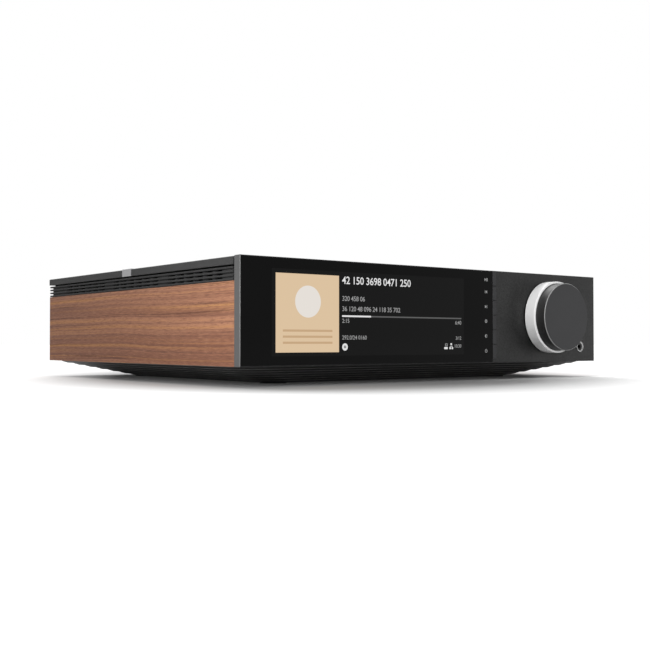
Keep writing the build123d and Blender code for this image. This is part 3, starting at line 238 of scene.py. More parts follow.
class Effects:
    """Shader node groups that several finishes use, each built once."""

    @staticmethod
    def build(
        name: str, inputs: Mapping[str, tuple[str, Value]], outputs: Mapping[str, str], wire: Wiring
    ) -> Tree:
        """Builds a group.

        Args:
            name: The group's name.
            inputs: Each input's socket type and first value, by name.
            outputs: Each output's socket type, by name.
            wire: Fills the group from its inputs and gives what each output gets.

        Returns:
            The group's tree.
        """
        tree = bpy.data.node_groups.new(name, "ShaderNodeTree")
        for label, (kind, value) in inputs.items():
            socket = tree.interface.new_socket(name=label, in_out="INPUT", socket_type=kind)
            socket.default_value = value
        for label, kind in outputs.items():
            tree.interface.new_socket(name=label, in_out="OUTPUT", socket_type=kind)
        graph = Graph(tree)
        source, result = graph.node("NodeGroupInput"), graph.node("NodeGroupOutput")
        graph.fill(result, wire(graph, source.outputs))
        return tree

    @staticmethod
    @cache
    def edge_wear_and_highlight() -> Tree:
        """Gives the group for a mask and a softened normal along the edges of a piece."""

        def wire(graph: Graph, given: Sockets) -> Sockets:
            """Compares the rounded normal with the flat one, and breaks the edge up."""
            soft = graph.node("ShaderNodeBevel", {"Radius": given["Radius"]}, samples=4).outputs[0]
            flat = graph.node("ShaderNodeNewGeometry").outputs["Normal"]
            turned = graph.math("SUBTRACT", 1.0, graph.vector("DOT_PRODUCT", soft, flat), clamp=True)
            patches = graph.noise(graph.place(), given["Patch Scale"], 3.0)
            patches = graph.span(patches, 0.3, 0.65, 0.35, 1.0)
            mask = graph.times(graph.times(turned, given["Gain"]), patches, clamp=True)
            return {"Mask": mask, "Normal": soft}

        sockets = {"Radius": (FLOAT, 0.3 * MM), "Gain": (FLOAT, 4.0), "Patch Scale": (FLOAT, 180.0)}
        return Effects.build("edge_wear_and_highlight", sockets, {"Mask": FLOAT, "Normal": VECTOR}, wire)

    @staticmethod
    @cache
    def grain() -> Tree:
        """Gives the group for a fine grain, and a slow cloud for colour that isn't quite even."""

        def wire(graph: Graph, given: Sockets) -> Sockets:
            """Lays a stretched noise over a slow one."""
            place = graph.place()
            drawn = graph.vector("MULTIPLY", place, given["Stretch"])
            grain = graph.noise(drawn, given["Scale"], 3.0)
            return {"Grain": grain, "Cloud": graph.noise(place, given["Cloud Scale"], 2.0)}

        sockets = {"Scale": (FLOAT, 2500.0), "Cloud Scale": (FLOAT, 25.0)}
        sockets["Stretch"] = (VECTOR, (1.0, 1.0, 1.0))
        return Effects.build("grain", sockets, {"Grain": FLOAT, "Cloud": FLOAT}, wire)

    @staticmethod
    @cache
    def dust() -> Tree:
        """Gives the group for a mask of thin dust on what faces up."""

        def wire(graph: Graph, given: Sockets) -> Sockets:
            """Scatters specks and a haze over the upper faces."""
            place = graph.place()
            normal = graph.node("ShaderNodeNewGeometry").outputs["Normal"]
            upward = graph.span(graph.parts(normal)[2], 0.4, 1.0)
            haze = graph.span(graph.noise(place, 30.0, 4.0), 0.4, 0.8)
            specks = graph.span(graph.noise(place, given["Speck Scale"], 1.0), 0.68, 0.74)
            both = graph.math("ADD", graph.times(haze, 0.5), specks, clamp=True)
            return {"Mask": graph.times(graph.times(both, upward), given["Amount"])}

        sockets = {"Amount": (FLOAT, 0.1), "Speck Scale": (FLOAT, 1400.0)}
        return Effects.build("dust", sockets, {"Mask": FLOAT}, wire)

    @staticmethod
    @cache
    def turning() -> Tree:
        """Gives the group for the fine rings that a lathe leaves round an axis along Y."""

        def wire(graph: Graph, given: Sockets) -> Sockets:
            """Counts rings outwards on a face and backwards along a wall."""
            x, y, z = graph.parts(graph.vector("SUBTRACT", graph.place(), given["Centre"]))
            radius = graph.vector("LENGTH", graph.joined(x=x, z=z))
            along = graph.joined(x=graph.math("ADD", radius, y))
            return {"Rings": graph.noise(along, graph.math("DIVIDE", 1.0, given["Pitch"]), 2.0)}

        sockets = {"Centre": (VECTOR, (0.0, 0.0, 0.0)), "Pitch": (FLOAT, 0.2 * MM)}
        return Effects.build("turning", sockets, {"Rings": FLOAT}, wire)


class Dirt(Enum):
    """How much dust a finish has gathered."""

    NONE = 0.0
    LITTLE = 0.04
    SOME = 0.12


@dataclass(frozen=True)
class Finish:
    """A finish of one material, which makes its node material once.

    Attributes:
        name: The material's name.
        colour: The colour as it is seen under plain light.
    """

    name: str
    colour: Ink

    @cache
    def material(self) -> Material:
        """Gives the finish's material, made the first time that it is asked for.

        Returns:
            The material.
        """
        made = bpy.data.materials.new(self.name)
        graph = Graph.of(made)
        shader = graph.node("ShaderNodeBsdfPrincipled")
        graph.node("ShaderNodeOutputMaterial", {"Surface": shader.outputs[0]})
        graph.fill(shader, self.inputs(graph))
        return made

    def inputs(self, graph: Graph) -> Inputs:
        """Builds the nodes of the finish.

        Args:
            graph: The material's graph.

        Returns:
            What each input of the shader gets.
        """
        raise NotImplementedError

    def bump(self, graph: Graph, height: Socket, depth: float, normal: Optional[Socket] = None) -> Socket:
        """Gives a normal that is raised by a height.

        Args:
            graph: The material's graph.
            height: The height, from 0 to 1.
            depth: The real height between 0 and 1.
            normal: The normal that the height is laid on.

        Returns:
            The new normal.
        """
        inputs = {"Strength": 1.0, "Distance": depth * MM, "Height": height}
        if normal is not None:
            inputs["Normal"] = normal
        return graph.node("ShaderNodeBump", inputs).outputs[0]


@dataclass(frozen=True)
class Worked(Finish):
    """A metal, paint or plastic with its grain, its worn edges and some dust; on the base the edge colour is
    a painted highlight.

    Attributes:
        roughness: How dull it is, from 0 to 1.
        metallic: 1 for bare or anodised metal and 0 for paint and plastic.
        grain_size: The size of one grain.
        grain_depth: The height of the grain.
        stretch: How the grain is drawn out, as a divisor along each axis.
        contrast: How much the grain changes the colour.
        edge: How wide the edges are softened.
        wear_and_highlight_colour: The colour that shows along the edges: wear, and on the base a painted
            highlight.
        wear_and_highlight_gain: How strongly those edges show.
        dirt: The dust on what faces up.
        dust_colour: The colour of the dust.
        gloss: The shader's specular level.
    """

    roughness: float = 0.45
    metallic: float = 1.0
    grain_size: float = 0.35
    grain_depth: float = 0.004
    stretch: Point = (1.0, 1.0, 1.0)
    contrast: float = 0.12
    edge: float = 0.25
    wear_and_highlight_colour: Ink = (150, 150, 152)
    wear_and_highlight_gain: float = 1.2
    dirt: Dirt = Dirt.LITTLE
    dust_colour: Ink = (168, 163, 155)
    gloss: float = 0.5

    def tone(self, graph: Graph, grain: Sockets) -> Socket:
        """Gives the colour before the worn edges, the painted edge highlights of the base, and dust.

        Args:
            graph: The material's graph.
            grain: The outputs of the grain.

        Returns:
            The colour.
        """
        deep = linear(self.colour, 1 - self.contrast)
        high = linear(self.colour, 1 + self.contrast)
        fine = graph.mix(graph.span(grain["Grain"], 0.3, 0.7), deep, high)
        slow = graph.span(grain["Cloud"], 0.3, 0.7, 1 - self.contrast / 2, 1 + self.contrast / 2)
        return graph.mix(1.0, fine, graph.even(slow), "MULTIPLY")

    def relief(self, graph: Graph, grain: Sockets) -> Socket:
        """Gives the height of the surface, from 0 to 1."""
        return grain["Grain"]

    def inputs(self, graph: Graph) -> Inputs:
        """Lays grain, edges and dust over the colour; the edges are worn, and on the base they are a painted
        highlight.
        """
        stretch = tuple(1 / part for part in self.stretch)
        grain = graph.effect(Effects.grain(), Scale=1 / (self.grain_size * MM), Stretch=stretch)
        wear_and_highlight = graph.effect(Effects.edge_wear_and_highlight(), Radius=self.edge * MM, Gain=self.wear_and_highlight_gain)
        # Edge colour: wear on most finishes, and on the moulded base a painted highlight along its terrace
        # edges.
        colour = graph.mix(wear_and_highlight["Mask"], self.tone(graph, grain), linear(self.wear_and_highlight_colour))
        smooth, dull = self.roughness * 0.88, min(1.0, self.roughness * 1.12)
        rough = graph.span(grain["Grain"], 0.25, 0.75, smooth, dull)
        if self.dirt is not Dirt.NONE:
            dust = graph.effect(Effects.dust(), Amount=self.dirt.value)["Mask"]
            colour = graph.mix(dust, colour, linear(self.dust_colour))
            rough = graph.math("ADD", rough, graph.times(dust, 0.6), clamp=True)
        return {
            "Base Color": colour,
            "Roughness": rough,
            "Metallic": self.metallic,
            "Specular IOR Level": self.gloss,
            "Normal": self.bump(graph, self.relief(graph, grain), self.grain_depth, wear_and_highlight["Normal"]),
        }


@dataclass(frozen=True)
class Plate(Worked):
    """The front plate's blasted metal, with its side faces painted lighter: painted light for the light that
    falls on them from the left.

    Attributes:
        side_painted_light: The lighter colour of the side faces, a painted light.
        side_start: How far from the middle the side faces start.
        side_fade: Over what distance the colour changes there.
    """

    side_painted_light: Ink = (100, 100, 100)
    side_start: float = 188.3
    side_fade: float = 0.15

    def tone(self, graph: Graph, grain: Sockets) -> Socket:
        """Gives the blasted colour, and on the side faces a lighter colour that is painted light."""
        # Painted light: past side_start the side faces fade to the lighter colour.
        away = graph.math("ABSOLUTE", graph.parts(graph.place())[0])
        side = graph.span(away, self.side_start * MM, (self.side_start + self.side_fade) * MM)
        return graph.mix(side, super().tone(graph, grain), linear(self.side_painted_light))


@dataclass(frozen=True)
class Turned(Worked):
    """A clean metal turned on a lathe about an axis along Y.

    Attributes:
        centre: A point on the axis, in metres.
        pitch: The width of a turning mark.
    """

    edge: float = 0.1
    wear_and_highlight_gain: float = 0.0
    dirt: Dirt = Dirt.NONE
    centre: Point = DIAL
    pitch: float = 0.1

    def relief(self, graph: Graph, grain: Sockets) -> Socket:
        """Gives the height of the turning marks with a little grain."""
        rings = graph.effect(Effects.turning(), Centre=self.centre, Pitch=self.pitch * MM)["Rings"]
        return graph.math("ADD", graph.times(rings, 0.8), graph.times(grain["Grain"], 0.2))


@dataclass(frozen=True)
class Plastic(Worked):
    """A plastic, rubber or paint, with no metal in its gloss."""

    metallic: float = 0.0


@dataclass(frozen=True)
class Terraced(Plastic):
    """A moulded plastic whose upright faces are painted lighter than its slopes, a painted light on the
    faces that catch the light.

    Attributes:
        upright: The painted light colour of the upright faces.
    """

    upright: Ink = (125, 125, 125)

    def tone(self, graph: Graph, grain: Sockets) -> Socket:
        """Gives the grained colour, with painted light on the upright faces."""
        # Painted light: faces whose normal lies near level take the lighter upright colour.
        facing = graph.node("ShaderNodeTexCoord").outputs["Normal"]
        tilt = graph.math("ABSOLUTE", graph.parts(facing)[2])
        share = graph.span(tilt, 0.1, 0.2, 1.0, 0.0)
        return graph.mix(share, super().tone(graph, grain), linear(self.upright))


@dataclass(frozen=True)
class Walnut(Finish):
    """Oiled walnut veneer with its grain along Y.

    Attributes:
        dark: The colour of the darker bands.
        light: The colour of the lighter bands.
        golden: The colour of the golden streaks.
        line: The colour of the thin dark lines.
        roughness: How dull the oiled face is.
        gloss: The shader's specular level.
        pore_depth: The depth of a pore.
    """

    dark: Ink = (112, 74, 62)
    light: Ink = (184, 134, 106)
    golden: Ink = (202, 148, 92)
    line: Ink = (70, 44, 44)
    roughness: float = 0.5
    gloss: float = 0.06
    pore_depth: float = 0.03

    def layer(self, graph: Graph, place: Socket, along: float, up: float, detail: float) -> Socket:
        """Gives a noise with its own scales per metre along and across the grain."""
        return graph.noise(graph.vector("MULTIPLY", place, (up / 2, along, up)), 1.0, detail, 0.1)

    def inputs(self, graph: Graph) -> Inputs:
        """Layers broad bands, golden streaks, thin dark lines, fibres and pores."""
        place = graph.place()
        wavy = graph.noise(graph.vector("MULTIPLY", place, (0.0, 4.0, 2.0)), 1.0, 2.0)
        bent = graph.vector("ADD", place, graph.joined(z=graph.times(wavy, 0.009)))
        bands = self.layer(graph, bent, 0.9, 80.0, 2.0)
        streaks = self.layer(graph, bent, 1.3, 330.0, 4.0)
        veins = self.layer(graph, graph.vector("ADD", bent, (0.0, 0.4, 0.3)), 0.7, 170.0, 1.0)
        fibres = self.layer(graph, bent, 130.0, 1700.0, 3.0)
        pores = graph.span(self.layer(graph, bent, 260.0, 3400.0, 1.0), 0.34, 0.27)
        ridge = graph.math("ABSOLUTE", graph.math("SUBTRACT", veins, 0.5))
        colour = graph.mix(graph.span(bands, 0.34, 0.66), linear(self.dark), linear(self.light))
        colour = graph.mix(0.35, colour, linear(self.colour))
        for pattern, start, full, most, ink in (
            (streaks, 0.52, 0.66, 0.55, self.golden),
            (streaks, 0.47, 0.34, 0.6, self.dark),
            (ridge, 0.014, 0.0, 0.75, self.line),
            (fibres, 0.5, 0.7, 0.6, self.dark),
            (fibres, 0.46, 0.3, 0.4, self.light),
        ):
            colour = graph.mix(graph.span(pattern, start, full, 0.0, most), colour, linear(ink))
        colour = graph.mix(graph.times(pores, 0.6), colour, linear(self.line))
        wear_and_highlight = graph.effect(Effects.edge_wear_and_highlight(), Radius=0.4 * MM, Gain=0.5)
        height = graph.math("SUBTRACT", graph.times(fibres, 0.3), pores)
        return {
            "Base Color": graph.mix(wear_and_highlight["Mask"], colour, linear(self.light)),
            "Roughness": graph.span(streaks, 0.3, 0.7, self.roughness * 0.85, self.roughness * 1.2),
            "Specular IOR Level": self.gloss,
            "Normal": self.bump(graph, height, self.pore_depth, wear_and_highlight["Normal"]),
        }


@dataclass(frozen=True)
class BlackGlass(Finish):
    """Dark glass of a display front, with faint smears in its polish.

    Attributes:
        glow: The colour that the panel behind it lets through.
    """

    glow: Ink = (0.0, 0.0, 0.0)

    def inputs(self, graph: Graph) -> Inputs:
        """Gives a near-black body under a coated gloss."""
        grain = graph.effect(Effects.grain(), Scale=160.0, Cloud_Scale=14.0)
        smear = graph.span(grain["Cloud"], 0.35, 0.7)
        polish = graph.span(grain["Cloud"], 0.3, 0.8, 0.05, 0.11)
        body = linear(self.colour)
        return {
            "Base Color": graph.mix(smear, body, linear(self.colour, 1.25)),
            "Roughness": graph.math("ADD", polish, graph.times(grain["Grain"], 0.02)),
            "Emission Color": graph.mix(graph.times(smear, 0.1), linear(self.glow), body),
            "Emission Strength": 1.0,
            "IOR": COATED,
        }


@dataclass(frozen=True)
class Lit(Finish):
    """A lit patch of the display, seen through the front glass.

    Attributes:
        pixel: From one pixel to the next.
        gap: How wide the darker gap between two pixels fades.
    """

    pixel: float = 0.06
    gap: float = 0.012

    def inputs(self, graph: Graph) -> Inputs:
        """Gives a faint pixel grid in the light, under the glass's gloss."""
        place = graph.place()
        x, _, z = graph.parts(place)
        columns = graph.math("PINGPONG", x, self.pixel * MM)
        rows = graph.math("PINGPONG", z, self.pixel * MM)
        lines = graph.span(graph.math("MINIMUM", columns, rows), 0.0, self.gap * MM, 0.93, 1.0)
        return {
            "Base Color": graph.mix(lines, BLACK, (0.004, 0.004, 0.004, 1.0)),
            "Roughness": graph.span(graph.noise(place, 40.0), 0.3, 0.7, 0.07, 0.12),
            "Emission Color": graph.mix(lines, linear(self.colour, 0.9), linear(self.colour)),
            "Emission Strength": 1.0,
            "IOR": COATED,
        }


@dataclass(frozen=True)
class CircuitBoard(Finish):
    """A lacquered board with its tracks under the lacquer, and bare pads.

    Attributes:
        bare: The colour of a bare pad.
        track_depth: The height of a track.
    """

    bare: Ink = (176, 172, 160)
    track_depth: float = 0.02

    def cells(self, graph: Graph, feature: str, scale: float, randomness: float) -> Socket:
        """Gives the distance in a pattern of cells, from their middles or their edges."""
        inputs = {"Vector": graph.place(), "Scale": scale, "Randomness": randomness}
        return graph.node("ShaderNodeTexVoronoi", inputs, feature=feature).outputs["Distance"]

    def inputs(self, graph: Graph) -> Inputs:
        """Draws tracks as the edges of cells and pads as their middles."""
        track = graph.span(self.cells(graph, "DISTANCE_TO_EDGE", 220.0, 0.35), 0.06, 0.1)
        pad = graph.times(graph.span(self.cells(graph, "F1", 330.0, 0.2), 0.2, 0.16), 0.7)
        lacquer = graph.mix(track, linear(self.colour, 1.7), linear(self.colour))
        return {
            "Base Color": graph.mix(pad, lacquer, linear(self.bare)),
            "Metallic": pad,
            "Roughness": graph.span(track, 0.0, 1.0, 0.3, 0.42),
            "Normal": self.bump(graph, track, self.track_depth),
        }


class Finishes:
    """Every finish of the amplifier, named for what it is on."""

    plate = Plate(
        "blasted_plate", grey(54), roughness=0.42, contrast=0.3, grain_size=0.7, edge=0.3, wear_and_highlight_gain=0.6,
        dirt=Dirt.NONE,
    )
    keys = Worked(
        "blasted_keys", (60, 60, 61), roughness=0.4, edge=0.2, wear_and_highlight_gain=0.8,
        wear_and_highlight_colour=(110, 110, 112), dirt=Dirt.NONE,
    )
    knob_face = Turned("knob_face", (64, 64, 65), grain_size=0.25, contrast=0.05, pitch=0.3)
    knob_wall = replace(knob_face, name="knob_wall", colour=grey(58), metallic=0.75)
    knob_chamfer = Turned(
        "knob_chamfer", grey(136), roughness=0.4, metallic=0.0, gloss=0.6, grain_size=0.2, contrast=0.04,
        edge=0.05, pitch=0.12,
    )
    ring = Turned(
        "bright_ring", grey(225), roughness=0.6, metallic=0.25, grain_size=0.3, grain_depth=0.006,
        contrast=0.06, pitch=0.2,
    )
    ring_bevel = Turned(
        "ring_bevel", grey(244), roughness=0.4, metallic=0.2, grain_size=0.2, contrast=0.03, edge=0.05,
    )
    jack_rim = Turned(
        "polished_rim", grey(226), roughness=0.25, metallic=0.3, grain_size=0.15, grain_depth=0.001,
        contrast=0.03, edge=0.05, centre=JACK,
    )
    # A darker copy of the polished rim for the inner dish: a painted reflection of dark surroundings.
    jack_dish_painted_dark = replace(jack_rim, name="polished_dish_painted_dark", colour=grey(48), metallic=0.6)
    tab = Worked(
        "clear_tab", (150, 150, 151), roughness=0.34, contrast=0.05, stretch=(1.0, 12.0, 1.0),
        wear_and_highlight_colour=(190, 190, 192), wear_and_highlight_gain=0.6,
    )
    glass = BlackGlass("front_glass_black", grey(3), glow=grey(5))
    screen = BlackGlass("screen_field_black", grey(4), glow=grey(15))
    cream = Lit("lit_cream", (219, 193, 159))
    pale = Lit("lit_pale", (228, 222, 215))
    sand = Lit("lit_sand", (196, 164, 128))
    white = Lit("lit_white", grey(226))
    silver = Lit("lit_silver", grey(150))
    dim = Lit("lit_dim", grey(92))
    cover = Plastic(
        "cover_satin", grey(66), roughness=0.5, gloss=0.05, grain_size=0.5, grain_depth=0.006,
        contrast=0.06, wear_and_highlight_colour=(120, 120, 121), wear_and_highlight_gain=0.4,
    )
    vent = Plastic(
        "vent_satin", grey(58), roughness=0.55, gloss=0.04, grain_size=0.5, grain_depth=0.005,
        contrast=0.06, edge=0.2, wear_and_highlight_colour=(96, 96, 97), wear_and_highlight_gain=0.5, dirt=Dirt.SOME,
    )
    # A lighter copy of the vent paint for the wall and posts: painted light that offsets the shade between
    # the fins.
    vent_wall_painted_light = replace(vent, name="vent_wall_satin", colour=grey(72), wear_and_highlight_gain=0.0, dirt=Dirt.NONE)
    # Near-black for the strip under the cover and the sheet behind the slots: painted shade where the vent's
    # inside lies in shade.
    vent_painted_shade = Plastic(
        "vent_gap_black", grey(3), roughness=0.7, gloss=0.05, grain_size=0.4, contrast=0.1, wear_and_highlight_gain=0.0,
        dirt=Dirt.NONE,
    )
    walnut = Walnut("oiled_walnut", (156, 108, 82))
    # Painted highlight: the base's strong light edge colour stands in for its lit terrace edges.
    base = Terraced(
        "moulded_base", grey(14), roughness=0.42, gloss=0.12, grain_size=0.4, grain_depth=0.006,
        contrast=0.1, edge=0.3, wear_and_highlight_colour=grey(110), wear_and_highlight_gain=1.5,
    )
    rubber = Plastic(
        "foot_rubber_black", (26, 26, 27), roughness=0.82, gloss=0.3, grain_size=0.6,
        grain_depth=0.02, contrast=0.15, wear_and_highlight_colour=grey(46), wear_and_highlight_gain=0.4,
    )
    rear = Plastic(
        "rear_powder_coat", (34, 34, 35), roughness=0.6, grain_size=0.45, grain_depth=0.014,
        contrast=0.14, edge=0.2, wear_and_highlight_colour=(90, 90, 92), wear_and_highlight_gain=0.3,
    )
    zinc = Worked(
        "zinc_sheet_bright", (150, 151, 148), roughness=0.4, grain_size=6.0, grain_depth=0.003,
        contrast=0.14, wear_and_highlight_colour=grey(196),
    )
    black_steel = Worked(
        "blackened_screws", (36, 36, 38), roughness=0.36, grain_size=0.2, edge=0.15,
        wear_and_highlight_colour=(140, 140, 142), wear_and_highlight_gain=0.8,
    )
    steel = Worked(
        "bare_steel_bright", (168, 168, 170), roughness=0.28, grain_size=0.2, contrast=0.06,
        wear_and_highlight_colour=(205, 205, 206),
    )
    brass = Worked(
        "bare_brass_warm", (196, 164, 96), roughness=0.3, grain_size=0.25, contrast=0.08,
        wear_and_highlight_colour=(226, 200, 140),
    )
    gold = Worked(
        "gold_plating", (214, 172, 92), roughness=0.2, grain_size=0.2, grain_depth=0.002,
        contrast=0.05, wear_and_highlight_colour=(240, 214, 150),
    )
    moulded = Plastic(
        "moulded_black", (30, 30, 31), roughness=0.5, grain_size=0.3, grain_depth=0.008,
        contrast=0.1, wear_and_highlight_colour=(70, 70, 71), wear_and_highlight_gain=0.4,
    )
    rocker = Plastic(
        "rocker_black", (24, 24, 25), roughness=0.34, grain_size=0.5, grain_depth=0.003,
        contrast=0.08, wear_and_highlight_colour=(60, 60, 61), wear_and_highlight_gain=0.5,
    )
    cap_black = Plastic(
        "cap_black", (28, 28, 29), roughness=0.3, grain_size=0.5, grain_depth=0.002,
        contrast=0.06, wear_and_highlight_colour=(66, 66, 67), wear_and_highlight_gain=0.4,
    )
    cap_red = replace(cap_black, name="cap_red", colour=(158, 30, 28), wear_and_highlight_colour=(196, 78, 72))
    mark_white = Plastic(
        "printed_white", (205, 205, 203), roughness=0.55, grain_size=0.3, grain_depth=0.001,
        contrast=0.05, wear_and_highlight_gain=0.0, dirt=Dirt.NONE,
    )
    board = CircuitBoard("lacquered_board", (30, 84, 54))
    heatsink = Worked(
        "black_heatsink", (52, 52, 54), roughness=0.4, grain_size=0.3, stretch=(1.0, 20.0, 1.0),
        wear_and_highlight_colour=(110, 110, 112),
    )
    cable = Plastic(
        "ribbon_cable", (206, 206, 202), roughness=0.5, grain_size=1.2, grain_depth=0.05,
        stretch=(1.0, 60.0, 60.0), contrast=0.16, wear_and_highlight_gain=0.1,
    )


def fillet(outline: Sequence[Flat], radius: float, steps: int = 3) -> list[Flat]:
    """Rounds every corner of a closed outline.

    Args:
        outline: The corners in order.
        radius: How far from each corner the rounding starts, at most.
        steps: How many runs each rounding has.

    Returns:
        The rounded outline.
    """
    points = [Vector(corner) for corner in outline]
    rounded: list[Flat] = []
    for number, corner in enumerate(points):
        before = points[number - 1] - corner
        after = points[(number + 1) % len(points)] - corner
        cut = min(radius, before.length * 0.45, after.length * 0.45)
        start = corner + before.normalized() * cut
        end = corner + after.normalized() * cut
        for step in range(steps + 1):
            share = step / steps
            spot = start * (1 - share) ** 2 + corner * (2 * share * (1 - share)) + end * share**2
            rounded.append((spot.x, spot.y))
    return rounded


def circle(
    across: float, up: float, radius: float, steps: int = 40, start: float = 0.0, turn: float = 360.0
) -> list[Flat]:
    """Gives points of a circle or of a part of one.

    Args:
        across: The place of its centre to the right.
        up: The height of its centre.
        radius: Its radius.
        steps: How many runs it has.
        start: Where it starts, in degrees from the right.
        turn: How far it goes round, in degrees.

    Returns:
        The points in order.
    """
    count = steps if turn >= 360.0 else steps + 1
    angles = [math.radians(start + turn * step / steps) for step in range(count)]
    return [(across + radius * math.cos(angle), up + radius * math.sin(angle)) for angle in angles]


def oblong(left: float, right: float, low: float, high: float, corner: float = 0.0) -> list[Flat]:
    """Gives the corners of an upright oblong, rounded where corner isn't 0."""
    corners = [(left, low), (right, low), (right, high), (left, high)]
    return fillet(corners, corner, 4) if corner else corners


def turned_round(outline: Sequence[Flat]) -> list[Flat]:
    """Gives an outline the other way round, as one that is cut out of another has to be."""
    return list(reversed(outline))


def as_mesh(name: str, build: bmesh.types.BMesh, sharp: float = 35.0) -> Mesh:
    """Turns a working mesh into a finished one with its normals outwards.

    Args:
        name: The mesh's name.
        build: The working mesh, which is freed.
        sharp: The angle past which an edge stays sharp, in degrees.

    Returns:
        The finished mesh.
    """
    bmesh.ops.remove_doubles(build, verts=build.verts, dist=SAME)
    bmesh.ops.recalc_face_normals(build, faces=build.faces)
    mesh = bpy.data.meshes.new(name)
    build.to_mesh(mesh)
    build.free()
    mesh.shade_smooth()
    mesh.set_sharp_from_angle(angle=math.radians(sharp))
    return mesh


def lathe(
    name: str, outline: Sequence[Flat], centre: Point, steps: int = 128, bands: Sequence[int] = ()
) -> Mesh:
    """Turns a closed outline about an axis along Y.

    Args:
        name: The mesh's name.
        outline: Points of radius and depth.
        centre: A point on the axis, in metres.
        steps: How many steps the turn has.
        bands: The material number of each run of the outline.

    Returns:
        The turned mesh, in place.
    """
    build = bmesh.new()
    rings = []
    for radius, depth in outline:
        ring = []
        for step in range(steps if radius > SAME else 1):
            angle = 2 * math.pi * step / steps
            place = Vector(centre) + Vector((math.cos(angle) * radius, depth, math.sin(angle) * radius)) * MM
            ring.append(build.verts.new(place))
        rings.append(ring)
    for number, ring in enumerate(rings):
        other = rings[(number + 1) % len(rings)]
        if len(ring) == 1 and len(other) == 1:
            continue
        for step in range(steps):
            after = (step + 1) % steps
            near, far = step % len(ring), after % len(ring)
            corners = [ring[near], other[step % len(other)], other[after % len(other)], ring[far]]
            corners = [corner for index, corner in enumerate(corners) if corner not in corners[:index]]
            face = build.faces.new(corners)
            face.material_index = bands[number] if number < len(bands) else 0
    return as_mesh(name, build)


def from_front_to_back(across: float, up: float, run: float) -> Point:
    """Places a point of a section that is drawn out from front to back."""
    return (across, run, up)


def prism(
    name: str, outline: Sequence[Flat], low: float, high: float, place: Placing = from_front_to_back
) -> Mesh:
    """Draws a closed outline out into a solid bar.

    Args:
        name: The mesh's name.
        outline: The bar's section.
        low: Where the bar starts.
        high: Where the bar ends.
        place: Turns a section point and a length into a place.

    Returns:
        The bar, in metres.
    """
    build = bmesh.new()
    ends = []
    for run in (low, high):
        ends.append([build.verts.new(Vector(place(u, v, run)) * MM) for u, v in outline])
    build.faces.new(ends[0])
    build.faces.new(ends[1])
    for number in range(len(outline)):
        after = (number + 1) % len(outline)
        build.faces.new([ends[0][number], ends[0][after], ends[1][after], ends[1][number]])
    return as_mesh(name, build)


def join(name: str, meshes: Sequence[Mesh]) -> Mesh:
    """Puts several meshes, each a closed shell, into one.

    Args:
        name: The new mesh's name.
        meshes: The meshes, which are removed.

    Returns:
        The new mesh.
    """
    build = bmesh.new()
    for mesh in meshes:
        build.from_mesh(mesh)
    made = bpy.data.meshes.new(name)
    build.to_mesh(made)
    build.free()
    for mesh in meshes:
        bpy.data.meshes.remove(mesh)
    return made


def hang(name: str, data: bpy.types.ID) -> Piece:
    """Puts a mesh, a curve, a lamp or a camera into the scene as an object.

    Args:
        name: The object's name.
        data: What it shows.

    Returns:
        The object.
    """
    made = bpy.data.objects.new(name, data)
    bpy.context.scene.collection.objects.link(made)
    return made


def evaluated(holder: Piece) -> Mesh:
    """Gives what an object comes to with its modifiers, as a plain mesh."""
    graph = bpy.context.evaluated_depsgraph_get()
    return bpy.data.meshes.new_from_object(holder.evaluated_get(graph))


def piece(
    name: str, mesh: Mesh, body: str, finishes: Sequence[Finish], stands_for: Sequence[str] = ()
) -> Piece:
    """Puts a finished mesh into the scene as a piece of the amplifier.

    Args:
        name: The piece's name.
        mesh: Its mesh, in place.
        body: The body that it moves with.
        finishes: Its finishes, in the order of the mesh's material numbers.
        stands_for: The nodes that it is shown in place of.

    Returns:
        The piece.
    """
    for number, finish in enumerate(finishes):
        if number < len(mesh.materials):
            mesh.materials[number] = finish.material()
        else:
            mesh.materials.append(finish.material())
    made = hang(name, mesh)
    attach(made, body)
    if stands_for:
        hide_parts(*stands_for)
    return made


def dress(finish: Finish, *nodes: str) -> None:
    """Gives nodes whose shape is right their finish.

    Args:
        finish: The finish.
        *nodes: The names of the nodes.
    """
    for name in nodes:
        for material_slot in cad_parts[name].material_slots:
            material_slot.material = finish.material()


